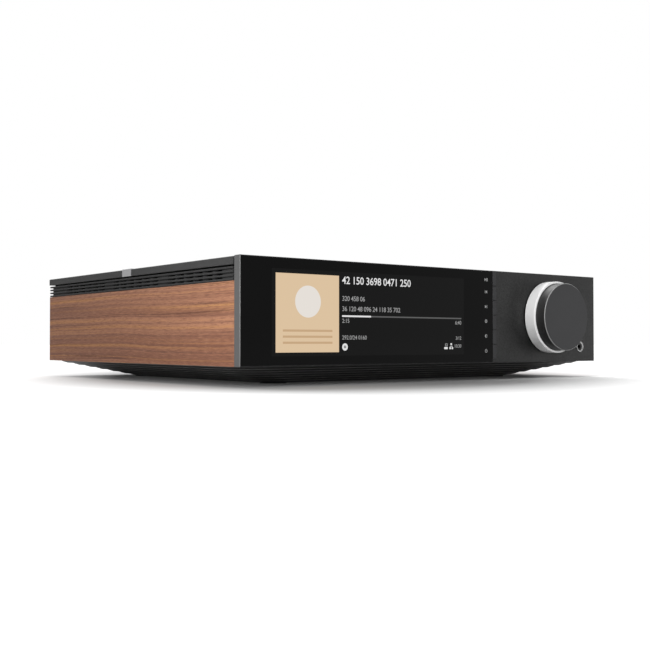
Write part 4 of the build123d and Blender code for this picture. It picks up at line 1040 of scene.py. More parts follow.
class Recipe:
    """A geometry tree with named inputs, run on a mesh and left as a plain mesh."""

    def __init__(self, name: str) -> None:
        """Starts an empty tree with its geometry in and out."""
        self.tree = bpy.data.node_groups.new(name, "GeometryNodeTree")
        for way in ("INPUT", "OUTPUT"):
            self.tree.interface.new_socket(name="Geometry", in_out=way, socket_type="NodeSocketGeometry")
        self.graph = Graph(self.tree)
        self.source = self.graph.node("NodeGroupInput")
        self.result = self.graph.node("NodeGroupOutput")

    def input(self, name: str, kind: str) -> Socket:
        """Adds a named input and gives its socket inside the tree."""
        self.tree.interface.new_socket(name=name, in_out="INPUT", socket_type=kind)
        return self.source.outputs[name]

    def instances(self, points: Socket, instance: Socket, **inputs: Value) -> Socket:
        """Puts a shape on every point."""
        inputs.update(Points=points, Instance=instance)
        return self.graph.node("GeometryNodeInstanceOnPoints", inputs).outputs[0]

    def real(self, instances: Socket) -> Socket:
        """Makes instances real geometry."""
        return self.graph.node("GeometryNodeRealizeInstances", {0: instances}).outputs[0]

    def close(self, instances: Socket) -> None:
        """Ends the tree: real geometry with its material."""
        inputs = {"Geometry": self.real(instances), "Material": self.input("Material", "NodeSocketMaterial")}
        self.graph.fill(self.result, {0: self.graph.node("GeometryNodeSetMaterial", inputs).outputs[0]})

    def run(self, name: str, mesh: Mesh, values: Mapping[str, Value]) -> Mesh:
        """Runs the tree.

        Args:
            name: The new mesh's name.
            mesh: What the tree starts from.
            values: What each named input gets.

        Returns:
            The tree's result as a plain mesh.
        """
        holder = hang(name + "_holder", mesh)
        modifier = holder.modifiers.new("recipe", "NODES")
        modifier.node_group = self.tree
        sockets = [item for item in self.tree.interface.items_tree if item.in_out == "INPUT"]
        keys = {item.name: item.identifier for item in sockets}
        for label, value in values.items():
            modifier[keys[label]] = value
        holder.update_tag()
        made = evaluated(holder)
        made.name = name
        holder.modifiers.remove(modifier)
        bpy.data.objects.remove(holder)
        return made


class Recipes:
    """The geometry trees of the amplifier, each built once."""

    @staticmethod
    @cache
    def rows() -> Recipe:
        """Gives the tree that repeats a part along one line, and that line along another.

        Returns:
            The tree.
        """
        recipe = Recipe("rows_of_parts")
        start = recipe.input("Start", VECTOR)
        lines = []
        for label in ("Part", "Row"):
            count = recipe.input(label + " Count", "NodeSocketInt")
            inputs = {"Count": count, "Offset": recipe.input(label + " Step", VECTOR)}
            lines.append(recipe.graph.node("GeometryNodeMeshLine", inputs).outputs[0])
        inputs = {"Geometry": lines[1], "Offset": start}
        placed = recipe.graph.node("GeometryNodeSetPosition", inputs).outputs[0]
        points = recipe.real(recipe.instances(placed, lines[0]))
        recipe.close(recipe.instances(points, recipe.source.outputs["Geometry"]))
        return recipe

    @staticmethod
    def repeat(name: str, part: Mesh, finish: Finish, start: Point, line: Line, rows: Line = SINGLE) -> Mesh:
        """Repeats a part along one line, and that line along another.

        Args:
            name: The new mesh's name.
            part: The part.
            finish: Its finish.
            start: How far the first one is moved.
            line: How many parts a line has, and how far it is from one to the next.
            rows: How many lines there are, and how far it is from one to the next.

        Returns:
            All the parts as one plain mesh, in metres.
        """
        values = {"Start": tuple(part * MM for part in start), "Material": finish.material()}
        for label, (count, step) in (("Part", line), ("Row", rows)):
            values[label + " Count"] = count
            values[label + " Step"] = tuple(part * MM for part in step)
        return Recipes.rows().run(name, part, values)

    @staticmethod
    @cache
    def fasteners() -> Recipe:
        """Gives the tree that drives a screw at every point, each turned by its own amount.

        Returns:
            The tree.
        """
        recipe = Recipe("driven_screws")
        node = recipe.graph.node
        screw = recipe.input("Screw", "NodeSocketObject")
        size = recipe.input("Size", VECTOR)
        seed = recipe.input("Seed", "NodeSocketInt")
        shape = node("GeometryNodeObjectInfo", {"Object": screw}, transform_space="ORIGINAL")
        turns = {2: 0.0, 3: 2 * math.pi, "Seed": seed}
        amount = node("FunctionNodeRandomValue", turns, data_type="FLOAT").outputs[1]
        facing = node("GeometryNodeInputNamedAttribute", {"Name": "facing"}, data_type="FLOAT_VECTOR")
        upright = node("FunctionNodeAlignRotationToVector", {"Vector": facing.outputs[0]}, axis="Z")
        spin = node("FunctionNodeAxisAngleToRotation", {"Angle": amount})
        both = {0: upright.outputs[0], 1: spin.outputs[0]}
        turned = node("FunctionNodeRotateRotation", both, rotation_space="LOCAL").outputs[0]
        points = recipe.source.outputs["Geometry"]
        screws = recipe.instances(points, shape.outputs["Geometry"], Rotation=turned, Scale=size)
        recipe.close(screws)
        return recipe


class Drawing:
    """Flat shapes and figures on the front glass, which looks towards the viewer.

    Attributes:
        thick: How thick a drawn layer is.
        capital: The height of a figure as a share of the letter size.
        spacing: The space between figures, as a share of the usual one.
        weight: How much bolder a figure is drawn, as a share of its height.
    """

    thick = 0.01
    capital = 0.69
    spacing = 0.96
    weight = 0.012

    def __init__(self, depth: float = 0.0) -> None:
        """Starts an empty drawing.

        Args:
            depth: How far in front of the glass it lies.
        """
        plate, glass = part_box("front_fascia")[0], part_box("front_glass")[0]
        face = glass.y - depth * MM
        self.corner = (plate.x, face - self.thick / 2 * MM, plate.z)
        self.meshes: list[Mesh] = []

    def stand(self, curve: bpy.types.Curve, across: float = 0.0, up: float = 0.0) -> None:
        """Makes a flat curve a mesh, moves it on the face and stands it upright.

        Args:
            curve: The filled curve.
            across: How far it is moved to the right.
            up: How far it is moved up.
        """
        curve.extrude = self.thick / 2 * MM
        holder = hang("drawing_holder", curve)
        mesh = evaluated(holder)
        bpy.data.objects.remove(holder)
        turn = Matrix.Rotation(math.radians(90), 4, "X") @ Matrix.Translation((across * MM, up * MM, 0.0))
        mesh.transform(Matrix.Translation(self.corner) @ turn)
        build = bmesh.new()
        build.from_mesh(mesh)
        bpy.data.meshes.remove(mesh)
        self.meshes.append(as_mesh("drawing", build, 30.0))

    def shape(self, *outlines: Sequence[Flat]) -> None:
        """Adds a filled shape, with each further outline cut out of it.

        Args:
            *outlines: The outlines, those that are cut out turned round.
        """
        curve = bpy.data.curves.new("shape", "CURVE")
        curve.dimensions = "2D"
        curve.fill_mode = "BOTH"
        for outline in outlines:
            spline = curve.splines.new("POLY")
            spline.points.add(len(outline) - 1)
            for point, (across, up) in zip(spline.points, outline):
                point.co = (across * MM, up * MM, 0.0, 1.0)
            spline.use_cyclic_u = True
        self.stand(curve)

    def arc(self, across: float, up: float, outer: float, inner: float, *turn: float) -> None:
        """Adds a part of a ring.

        Args:
            across: The place of its centre to the right.
            up: The height of its centre.
            outer: Its outer radius.
            inner: Its inner radius.
            *turn: Its steps, start and turn, as circle takes them.
        """
        outside, inside = circle(across, up, outer, *turn), circle(across, up, inner, *turn)
        self.shape(outside + turned_round(inside))

    def figures(self, text: str, across: float, up: float, height: float, end: str = "LEFT") -> None:
        """Adds plain figures.

        Args:
            text: The figures.
            across: Where they start, or end.
            up: Their lower edge.
            height: The height of a figure.
            end: LEFT where across is their start, and RIGHT where it is their end.
        """
        curve = bpy.data.curves.new("figures", "FONT")
        curve.body = text
        curve.size = height * MM / self.capital
        curve.align_x = end
        curve.resolution_u = 3
        curve.space_character = self.spacing
        curve.offset = self.weight * height * MM
        self.stand(curve, across, up)

    def finish(self, name: str, finish: Finish) -> Piece:
        """Joins what was drawn into one piece of the front."""
        return piece(name, join(name, self.meshes), "chassis", [finish])


class Assembly:
    """A sub-assembly of the amplifier."""

    def build(self) -> list[Piece]:
        """Dresses the nodes of the sub-assembly and adds what its looks still need.

        Returns:
            The added pieces.
        """
        raise NotImplementedError


@dataclass
class Display(Assembly):
    """The display behind the glass: its lit field, a cover picture of plain bands, and figures.

    Attributes:
        field: The left, right, lower and upper edge of the lit field.
        field_corner: The radius of its corners.
        picture: The left, right, lower and upper edge of the picture.
        bands: How many bands the picture has.
        band_inset: How far they stay from its edges.
        band_pitch: From one band to the next.
        band_height: The height of a band.
        disc_up: How far above the picture's lower edge the disc's middle is.
        disc_radius: The disc's radius.
        text_left: Where the figures start.
        text_right: Where they end.
        bar_up: The height of the progress bar.
        bar_done: Where its bright part ends.
        bar_half: Half the thickness of its bright part.
        bar_rest_half: Half the thickness of the rest of it.
        sign_low: The lower edge of the signs at the foot of the display.
        source_away: How far before text_right the source sign starts.
        tree_away: How far before it the network sign's left box is.
    """

    field: Edges = (25.6, 210.9, 7.0, 67.2)
    field_corner: float = 0.6
    picture: Edges = (28.8, 84.0, 9.5, 64.2)
    bands: int = 3
    band_inset: float = 6.0
    band_pitch: float = 4.2
    band_height: float = 1.5
    disc_up: float = 35.5
    disc_radius: float = 11.2
    text_left: float = 86.8
    text_right: float = 208.1
    bar_up: float = 35.4
    bar_done: float = 114.1
    bar_half: float = 0.6
    bar_rest_half: float = 0.5
    sign_low: float = 11.2
    source_away: float = 19.0
    tree_away: float = 12.5

    def build(self) -> list[Piece]:
        """Draws the display in thin layers on the glass."""
        field = Drawing()
        field.shape(oblong(*self.field, self.field_corner))
        made = [field.finish("screen_field", Finishes.screen)]
        return made + self.cover_picture() + self.rows()

    def cover_picture(self) -> list[Piece]:
        """Draws the cover picture: a pale disc over bands, of no one's design.

        Returns:
            The picture's layers.
        """
        left, right, low, _ = self.picture
        ground = Drawing(0.01)
        ground.shape(oblong(*self.picture))
        bands = Drawing(0.02)
        for number in range(self.bands):
            base = low + self.band_inset + number * self.band_pitch
            sides = (left + self.band_inset, right - self.band_inset)
            bands.shape(oblong(*sides, base, base + self.band_height))
        disc = Drawing(0.02)
        disc.shape(circle((left + right) / 2, low + self.disc_up, self.disc_radius, 56))
        return [
            ground.finish("screen_picture_ground", Finishes.cream),
            bands.finish("screen_picture_bands", Finishes.sand),
            disc.finish("screen_picture_disc", Finishes.pale),
        ]

    def rows(self) -> list[Piece]:
        """Draws the figures, the progress bar and the small signs.

        Returns:
            One piece for each brightness.
        """
        bright, soft, faint = Drawing(0.01), Drawing(0.01), Drawing(0.01)
        left, right = self.text_left, self.text_right
        bright.figures("42 150 3698 0471 250", left, 58.6, 5.3)
        for text, up, height in (
            ("320 458 06", 46.4, 3.4),
            ("36 120 48 096 24 118 35 702", 39.0, 3.4),
            ("2:15", 30.6, 2.9),
            ("292.0/24 0160", 18.6, 2.9),
        ):
            soft.figures(text, left, up, height)
        for text, up, height in (("6:40", 30.6, 2.9), ("3/12", 18.6, 2.6), ("10:30", 12.4, 2.6)):
            soft.figures(text, right, up, height, "RIGHT")
        done, up = self.bar_done, self.bar_up
        bright.shape(oblong(left, done, up - self.bar_half, up + self.bar_half))
        faint.shape(oblong(done, right, up - self.bar_rest_half, up + self.bar_rest_half))
        self.signs(bright, soft)
        return [
            bright.finish("screen_figures_bright", Finishes.white),
            soft.finish("screen_figures_soft", Finishes.silver),
            faint.finish("screen_bar_rest", Finishes.dim),
        ]

    def signs(self, bright: Drawing, soft: Drawing) -> None:
        """Draws a pause sign in a disc, the source sign and the network sign.

        Args:
            bright: The drawing for what is bright.
            soft: The drawing for what is less bright.
        """
        low = self.sign_low
        middle = self.text_left + 2.7
        strokes = [(middle - 0.9, middle - 0.2), (middle + 0.3, middle + 1.0)]
        cuts = [turned_round(oblong(*stroke, 12.3, 14.2)) for stroke in strokes]
        bright.shape(circle(middle, 13.2, 2.6), *cuts)
        start = self.text_right - self.source_away
        bright.shape(oblong(start, start + 3.8, low, low + 1.7, 0.3))
        opening = oblong(start + 1.5, start + 3.1, low + 2.8, low + 3.9)
        soft.shape(oblong(start + 1.0, start + 3.6, low + 2.3, low + 4.4), turned_round(opening))
        tree, half = self.text_right - self.tree_away, 0.8
        for across, up in ((tree, low + 0.8), (tree + 2.4, low + 0.8), (tree + 1.2, low + 3.9)):
            bright.shape(oblong(across - half, across + half, up - half, up + half, 0.3))
        bright.shape(oblong(tree - 0.2, tree + 2.6, low + 2.0, low + 2.4))


@dataclass
class FrontPlate(Assembly):
    """The front plate with its glass and what stands behind it."""

    def build(self) -> list[Piece]:
        """Dresses the plate, the glass and the hidden inner parts."""
        dress(Finishes.plate, "front_fascia")
        dress(Finishes.glass, "front_glass")
        dress(Finishes.moulded, "display_module", "front_subframe", "dual_encoder")
        dress(Finishes.zinc, "encoder_bush", "ring_sleeve")
        dress(Finishes.board, "display_board", "key_board")
        dress(Finishes.steel, "knob_spindle")
        return []


@dataclass
class KeyColumn(Assembly):
    """Six keys and the small sign beside each one, printed under the glass.

    Attributes:
        signs_across: Where the middle of the signs is.
        signs_up: The height of each sign, from the top key down.
        half: Half the height of an arrow or a bar.
        rim: The radius of a round sign.
    """

    signs_across: float = 236.6
    signs_up: tuple[float, ...] = (67.4, 57.5, 45.5, 33.7, 21.7, 9.6)
    half: float = 1.3
    rim: float = 1.4

    def build(self) -> list[Piece]:
        """Dresses the keys and draws their signs."""
        dress(Finishes.keys, "play_key", "skip_back_key", "skip_forward_key")
        dress(Finishes.keys, "source_key", "home_key", "power_key")
        drawing = Drawing()
        across, half = self.signs_across, self.half
        play, back, forward, source, home, power = self.signs_up
        drawing.shape([(across - 1.7, play - half), (across + 0.1, play), (across - 1.7, play + half)])
        for shift in (0.6, 1.6):
            drawing.shape(oblong(across + shift - 0.3, across + shift + 0.3, play - half, play + half))
        for up, way in ((back, -1.0), (forward, 1.0)):
            tail, tip = across - half * way, across + 0.7 * way
            arrow = [(tail, up - half), (tip, up), (tail, up + half)]
            drawing.shape(arrow if way > 0 else turned_round(arrow))
            stop = sorted((across + 0.8 * way, across + 1.3 * way))
            drawing.shape(oblong(*stop, up - half, up + half))
        drawing.shape(circle(across, source, self.rim), turned_round(circle(across, source, 0.85)))
        drawing.shape(circle(across, source, 0.4))
        drawing.shape(circle(across, home, 1.35, 24, 90.0, 180.0))
        drawing.arc(across, home, 1.35, 1.05, 24, 250.0, 200.0)
        drawing.arc(across, power, self.rim, 0.95, 30, 115.0, 310.0)
        drawing.shape(oblong(across - 0.22, across + 0.22, power + 0.2, power + 1.7))
        return [drawing.finish("key_signs", Finishes.silver)]


@dataclass
class Dial(Assembly):
    """The double dial: a dark turned knob inside a bright ring.

    Attributes:
        chamfer: The width of the knob's bright chamfer.
        bevel: The width of the ring's outer bevel.
        bevel_start: How far back that bevel starts.
        bevel_end: How far back it ends.
        edge: The size of the small bevel at the rear edges.
        ring_inner: The radius of the ring's mouth.
        ring_back: The depth of the ring's rear face.
        steps: How many steps the turned shapes have.
    """

    chamfer: float = 0.5
    bevel: float = 0.4
    bevel_start: float = 0.35
    bevel_end: float = 0.65
    edge: float = 0.3
    ring_inner: float = 28.65
    ring_back: float = -155.6
    steps: int = 180

    def build(self) -> list[Piece]:
        """Turns the knob and the ring to the sizes of their nodes."""
        return [self.knob(), self.ring()]

    def knob(self) -> Piece:
        """Turns the knob, with its face, chamfer and wall in their own finishes.

        Returns:
            The knob.
        """
        low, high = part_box("volume_knob")
        radius = (high.x - low.x) / 2 / MM
        front, back = low.y / MM, high.y / MM
        face = [(0.0, front), (radius - self.chamfer, front), (radius, front + self.chamfer)]
        outline = face + [(radius, back - self.edge), (radius - self.edge, back), (0.0, back)]
        name = "volume_knob_turned"
        mesh = lathe(name, outline, DIAL, self.steps, [0, 1, 2, 2, 2, 2])
        finishes = [Finishes.knob_face, Finishes.knob_chamfer, Finishes.knob_wall]
        return piece(name, mesh, "volume_knob", finishes, ["volume_knob"])

    def ring(self) -> Piece:
        """Turns the ring, with a polished bevel round its mouth.

        Returns:
            The ring.
        """
        low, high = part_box("selector_ring")
        radius = (high.x - low.x) / 2 / MM
        front, back = low.y / MM, self.ring_back
        inner, bevel = self.ring_inner, radius - self.bevel
        face = [(inner, front), (bevel, front + self.bevel_start), (radius, front + self.bevel_end)]
        outline = face + [(radius, back - self.edge), (radius - self.edge, back), (inner, back)]
        name = "selector_ring_turned"
        mesh = lathe(name, outline, DIAL, self.steps, [1, 1, 0, 0, 0, 1])
        finishes = [Finishes.ring, Finishes.ring_bevel]
        return piece(name, mesh, "selector_ring", finishes, ["selector_ring"])


@dataclass
class HeadphoneSocket(Assembly):
    """The headphone socket with its polished dished ring, whose inner dish is painted dark for the dark
    surroundings that the polished metal reflects.

    Attributes:
        mouth: The radius at the bottom of the dish.
        lip: The radius where the dish meets the rim.
        crest: The width of the slope between the dish and the rim's face.
        edge: The size of the bevel at the rim's outer edge.
        dish: How deep the dish is.
        runs: How many runs the dish's hollow has.
    """

    mouth: float = 2.3
    lip: float = 4.0
    crest: float = 0.15
    edge: float = 0.12
    dish: float = 1.2
    runs: int = 6

    def build(self) -> list[Piece]:
        """Dresses the tube and turns the ring."""
        dress(Finishes.moulded, "headphone_jack")
        low, high = (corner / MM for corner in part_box("jack_ring"))
        radius = (high.x - low.x) / 2
        hollow = []
        for step in range(self.runs + 1):
            angle = math.pi / 2 * step / self.runs
            across = self.mouth + (self.lip - self.mouth) * math.sin(angle)
            hollow.append((across, low.y + self.dish * math.cos(angle)))
        rim = [(self.lip + self.crest, low.y), (radius - self.edge, low.y), (radius, low.y + self.edge)]
        rim += [(radius, high.y), (self.mouth, high.y)]
        # The inner half of the hollow takes the darker copy, a painted reflection of dark surroundings.
        inner = self.runs // 2
        bands = [0] * inner + [1] * (self.runs - inner + len(rim))
        name = "jack_ring_turned"
        mesh = lathe(name, hollow + rim, JACK, 96, bands)
        finishes = [Finishes.jack_dish_painted_dark, Finishes.jack_rim]
        return [piece(name, mesh, "chassis", finishes, ["jack_ring"])]


@dataclass
class SideVent(Assembly):
    """One side vent: rounded fins in front of a wall with rows of slots.

    Attributes:
        side: left or right, as in the node's name.
        fins: How many fins there are.
        fin_pitch: From one fin to the next.
        fin_thickness: The thickness of a fin.
        fin_nose: How far the rounding of its edges reaches.
        reach: How far the fins stand out from the wall.
        wall: The thickness of the wall.
        step: How far the wall stands forward between the fins.
        groups: How many groups of slots there are.
        group_pitch: From one group to the next.
        slots: How many slots a group has.
        slot_pitch: From one slot to the next.
        slot_length: The length of a slot.
        slot_edge: How far the rounding of its edges reaches.
        middle: The middle of the slots, behind the front plate's face.
        ledge: How far the lowest fin goes on behind the wall.
        ledge_inset: How far that ledge stays from the vent's ends.
        strip_inset: How far the near-black strip under the cover, a painted shade, stays from its two ends.
        screen: Where the near-black sheet behind the slots, a painted shade, starts and ends, behind the
            wall.
        screen_inset: How far that sheet stays from the vent's ends.
        screen_up: How far it stays above the ledge.
    """

    side: str
    fins: int = 4
    fin_pitch: float = 2.68
    fin_thickness: float = 1.4
    fin_nose: float = 0.38
    reach: float = 5.0
    wall: float = 1.6
    step: float = 2.0
    groups: int = 3
    group_pitch: float = 93.0
    slots: int = 6
    slot_pitch: float = 13.3
    slot_length: float = 10.8
    slot_edge: float = 0.25
    middle: float = 158.4
    ledge: float = 8.0
    ledge_inset: float = 12.0
    strip_inset: Flat = (2.7, 1.0)
    screen: Flat = (0.5, 0.8)
    screen_inset: float = 14.0
    screen_up: float = 0.05

    def __post_init__(self) -> None:
        """Finds the vent's node, the planes of its parts and the middle of its slots."""
        node = "vent_grille_" + self.side
        self.node = node
        self.low, self.high = (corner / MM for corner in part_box(node))
        self.way = 1.0 if self.side == "left" else -1.0
        self.nose = self.low.x if self.way > 0 else self.high.x
        self.face = self.nose + self.way * self.reach
        self.front = self.face - self.way * self.step
        self.inner = self.face + self.way * self.wall
        self.floor = self.low.z + self.fin_thickness
        self.crest = self.low.z + (self.fins - 1) * self.fin_pitch + self.fin_thickness / 2
        self.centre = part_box("front_fascia")[0].y / MM + self.middle

    def build(self) -> list[Piece]:
        """Builds the vent from fins, posts between slots, and walls between groups."""
        made = []
        for name, parts, finish in (
            ("fins", [self.fin_rows(), self.ledge_slab()], Finishes.vent),
            # The wall and posts take the lighter copy: painted light against the shade between the fins.
            ("wall", [self.slot_posts()] + self.walls(), Finishes.vent_wall_painted_light),
            # The gap pieces are near-black painted shade.
            ("gap", self.painted_shade_sheets(), Finishes.vent_painted_shade),
        ):
            label = f"side_vent_{self.side}_{name}"
            made.append(piece(label, join(label, parts), "chassis", [finish], [self.node]))
        return made

    def slab(self, start: float, end: float, front: float, back: float, low: float, high: float) -> Mesh:
        """Gives a flat wall between two places across."""
        left, right = sorted((start, end))
        return prism("wall", oblong(left, right, low, high), front, back)

    def ledge_slab(self) -> Mesh:
        """Draws the lowest fin on behind the wall."""
        front, back = self.low.y + self.ledge_inset, self.high.y - self.ledge_inset
        return self.slab(self.face, self.inner + self.way * self.ledge, front, back, self.low.z, self.floor)

    def painted_shade_sheets(self) -> list[Mesh]:
        """Fills the strip under the cover and the sheet behind the slots with near-black pieces, a painted
        shade.

        Returns:
            The fillings.
        """
        front, back, top = self.low.y, self.high.y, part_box("top_cover")[0].z / MM
        before, behind = self.strip_inset
        near, far = (self.inner + self.way * part for part in self.screen)
        inset = self.screen_inset
        return [
            self.slab(self.face, self.inner, front, back, self.crest, top),
            self.slab(self.face, self.inner, front + before, back - behind, top, self.high.z),
            self.slab(near, far, front + inset, back - inset, self.floor + self.screen_up, self.crest),
        ]

    def walls(self) -> list[Mesh]:
        """Fills the stretches between the groups of slots.

        Returns:
            The walls.
        """
        half = ((self.slots - 1) * self.slot_pitch + self.slot_length) / 2
        edges = [self.low.y]
        for group in range(self.groups):
            middle = self.centre + (group - (self.groups - 1) / 2) * self.group_pitch
            edges += [middle - half, middle + half]
        edges.append(self.high.y)
        stretches = zip(edges[::2], edges[1::2])
        return [self.slab(self.front, self.inner, *ends, self.low.z, self.crest) for ends in stretches]

    def fin_rows(self) -> Mesh:
        """Repeats one fin with a rounded nose up the wall.

        Returns:
            The fins.
        """
        left, right = sorted((self.nose, self.inner))
        section = fillet(oblong(left, right, 0.0, self.fin_thickness), self.fin_nose, 3)
        fin = prism("fin", section, self.low.y, self.high.y)
        line = (self.fins, (0.0, 0.0, self.fin_pitch))
        return Recipes.repeat("fins", fin, Finishes.vent, (0.0, 0.0, self.low.z), line)

    def slot_posts(self) -> Mesh:
        """Repeats the post between two slots, in each group.

        Returns:
            The posts.
        """
        half = (self.slot_pitch - self.slot_length) / 2
        left, right = sorted((self.front, self.inner))
        section = fillet(oblong(left, right, -half, half), self.slot_edge, 2)
        post = prism("post", section, self.low.z, self.crest, lambda across, deep, run: (across, deep, run))
        first = self.centre - (self.groups - 1) / 2 * self.group_pitch
        first -= (self.slots - 2) / 2 * self.slot_pitch
        line = (self.slots - 1, (0.0, self.slot_pitch, 0.0))
        rows = (self.groups, (0.0, self.group_pitch, 0.0))
        return Recipes.repeat("posts", post, Finishes.vent, (0.0, first, 0.0), line, rows)


@dataclass
class Screw:
    """A pan head screw with a cross recess and a thread.

    Attributes:
        head: The radius of the head.
        height: The height of the head.
        shank: The radius of the thread.
        length: The whole length.
        rounding: How far in and how far down each point of the head's edge is.
        arm: Half the length of the recess.
        arm_width: The width of one arm of the recess.
        recess: The depth of the recess.
        recess_foot: The size of its foot, as a share of its mouth.
        pitch: The pitch of the thread.
        thread: The depth of the thread.
        tip: The length without a thread at the tip.
        tip_radius: The radius of the tip, as a share of the thread's.
        steps: How many steps the turned shape has.
    """

    head: float
    height: float
    shank: float
    length: float
    rounding: tuple[Flat, ...] = ((0.45, 0.0), (0.15, 0.1), (0.0, 0.35))
    arm: float = 1.6
    arm_width: float = 0.8
    recess: float = 0.9
    recess_foot: float = 0.75
    pitch: float = 0.6
    thread: float = 0.18
    tip: float = 0.4
    tip_radius: float = 0.6
    steps: int = 32

    def profile(self) -> list[Flat]:
        """Gives radius and height from the head's top edge down to the tip.

        Returns:
            The points in order.
        """
        points = [(self.head - inset, -down) for inset, down in self.rounding]
        points += [(self.head, -self.height), (self.shank, -self.height)]
        for turn in range(int((self.length - self.height - self.tip) / self.pitch)):
            down = -self.height - self.pitch * turn
            points.append((self.shank - self.thread, down - self.pitch * 0.25))
            points.append((self.shank, down - self.pitch * 0.75))
        return points + [(self.shank * self.tip_radius, -self.length)]

    def cross(self, share: float, height: float) -> list[Point]:
        """Gives the twelve corners of the recess, drawn in to a share of its size.

        Args:
            share: The share.
            height: The height of the corners.

        Returns:
            The corners in order.
        """
        far, near = self.arm * share, self.arm_width / 2 * share
        arm = [(far, -near), (far, near), (near, near)]
        corners = []
        for quarter in range(4):
            angle = quarter * math.pi / 2
            cos, sin = round(math.cos(angle)), round(math.sin(angle))
            corners += [(cos * x - sin * y, sin * x + cos * y, height) for x, y in arm]
        return corners

    def mesh(self, name: str) -> Mesh:
        """Builds the screw along Z, with the top of its head at the origin.

        Args:
            name: The mesh's name.

        Returns:
            The screw.
        """
        build = bmesh.new()
        angles = [2 * math.pi * step / self.steps for step in range(self.steps)]
        loops = []
        for radius, height in self.profile():
            loops.append([(math.cos(angle) * radius, math.sin(angle) * radius, height) for angle in angles])
        loops += [self.cross(1.0, 0.0), self.cross(self.recess_foot, -self.recess)]
        *rings, top, foot = [[build.verts.new(Vector(spot) * MM) for spot in loop] for loop in loops]
        for upper, lower in list(zip(rings, rings[1:])) + [(top, foot)]:
            for step, corner in enumerate(upper):
                after = (step + 1) % len(upper)
                build.faces.new([corner, upper[after], lower[after], lower[step]])
        build.faces.new(foot)
        build.faces.new(rings[-1])
        edges = []
        for loop in (rings[0], top):
            edges += [build.edges.get(pair) for pair in zip(loop, loop[1:] + loop[:1])]
        bmesh.ops.triangle_fill(build, edges=edges, use_beauty=True)
        return as_mesh(name, build)


@dataclass
class ScrewPlace:
    """One screw as its node has it.

    Attributes:
        top: The middle of its head's top.
        facing: The way that its head faces.
        screw: Its sizes.
    """

    top: Vector
    facing: Vector
    screw: Screw


@dataclass
class DrivenScrews:
    """The screws of one node, found on it and driven in again with all their detail.

    Attributes:
        node: The node whose screws they are.
        slot: A slot name, which is not used.
        seed: What the turn of each screw is drawn from.
        outermost: What counts as the outermost part of a screw, as a share of its size.
    """

    node: str
    slot: str
    seed: int
    outermost: float = 0.95

    def places(self) -> list[ScrewPlace]:
        """Gives each screw of the node, in order of its place.

        Returns:
            The screws.
        """
        build = bmesh.new()
        build.from_mesh(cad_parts[self.node].data)
        bmesh.ops.remove_doubles(build, verts=build.verts, dist=SAME)
        left, found = set(build.verts), []
        while left:
            part = [left.pop()]
            for vert in part:
                near = [edge.other_vert(vert) for edge in vert.link_edges]
                part += [other for other in near if other in left]
                left.difference_update(near)
            found.append(self.measure([vert.co / MM for vert in part]))
        build.free()
        return sorted(found, key=lambda place: tuple(round(part, 1) for part in place.top))

    def measure(self, points: Sequence[Vector]) -> ScrewPlace:
        """Gives one screw's head, the way that it faces and its sizes.

        Args:
            points: The points of its solid.

        Returns:
            The screw.
        """
        low = Vector([min(point[axis] for point in points) for axis in range(3)])
        high = Vector([max(point[axis] for point in points) for axis in range(3)])
        size, middle = high - low, (low + high) / 2

        def odd(axis: int) -> float:
            """How far the size along an axis is from the nearest other one."""
            return min(abs(size[axis] - size[other]) for other in range(3) if other != axis)

        axis = max(range(3), key=odd)
        head = size[(axis + 1) % 3] / 2

        def away(point: Vector) -> float:
            """How far a point is from the screw's axis."""
            across = point - middle
            across[axis] = 0.0
            return across.length

        rim = [point[axis] for point in points if away(point) > head * self.outermost]
        way = 1.0 if sum(rim) / len(rim) > middle[axis] else -1.0
        top = middle.copy()
        top[axis] = high[axis] if way > 0 else low[axis]
        facing = Vector((0.0, 0.0, 0.0))
        facing[axis] = way
        tip = [away(point) for point in points if abs(point[axis] - top[axis]) > size[axis] * self.outermost]
        shank = min(tip, default=head / 2)
        sizes = (head, max(rim) - min(rim), shank, size[axis])
        return ScrewPlace(top, facing, Screw(*[round(part, 2) for part in sizes]))

    def build(self) -> Piece:
        """Drives one screw of each size at its places.

        Returns:
            The screws as one piece.
        """
        sizes: dict[tuple[float, float], list[ScrewPlace]] = {}
        for place in self.places():
            sizes.setdefault((place.screw.head, place.screw.length), []).append(place)
        runs = []
        for number, group in enumerate(sizes.values()):
            points = bpy.data.meshes.new("screw_places")
            points.from_pydata([tuple(place.top * MM) for place in group], [], [])
            facing = points.attributes.new("facing", "FLOAT_VECTOR", "POINT")
            for item, place in zip(facing.data, group):
                item.vector = place.facing
            screw = hang("screw_pattern", group[0].screw.mesh("screw_pattern"))
            values = {"Screw": screw, "Size": (1.0, 1.0, 1.0), "Seed": self.seed + number}
            values["Material"] = Finishes.black_steel.material()
            runs.append(Recipes.fasteners().run("screws", points, values))
            bpy.data.objects.remove(screw)
        label = self.node + "_driven"
        return piece(label, join(label, runs), "chassis", [Finishes.black_steel], [self.node])


@dataclass
class Casing(Assembly):
    """The cover with its tab, the tray and the walnut side panels."""

    def build(self) -> list[Piece]:
        """Dresses the casing and builds both side vents."""
        dress(Finishes.cover, "top_cover")
        dress(Finishes.tab, "cover_tab")
        dress(Finishes.zinc, "chassis_tray")
        dress(Finishes.walnut, "side_panel_left", "side_panel_right")
        dress(Finishes.steel, "panel_magnets")
        return SideVent("left").build() + SideVent("right").build()


@dataclass
class SteppedBase(Assembly):
    """The terraced base with its feet."""

    def build(self) -> list[Piece]:
        """Dresses the base and its feet, and drives its screws."""
        dress(Finishes.base, "stepped_base")
        dress(Finishes.rubber, "base_feet")
        return [DrivenScrews("base_screws", "black_screws", seed=20).build()]


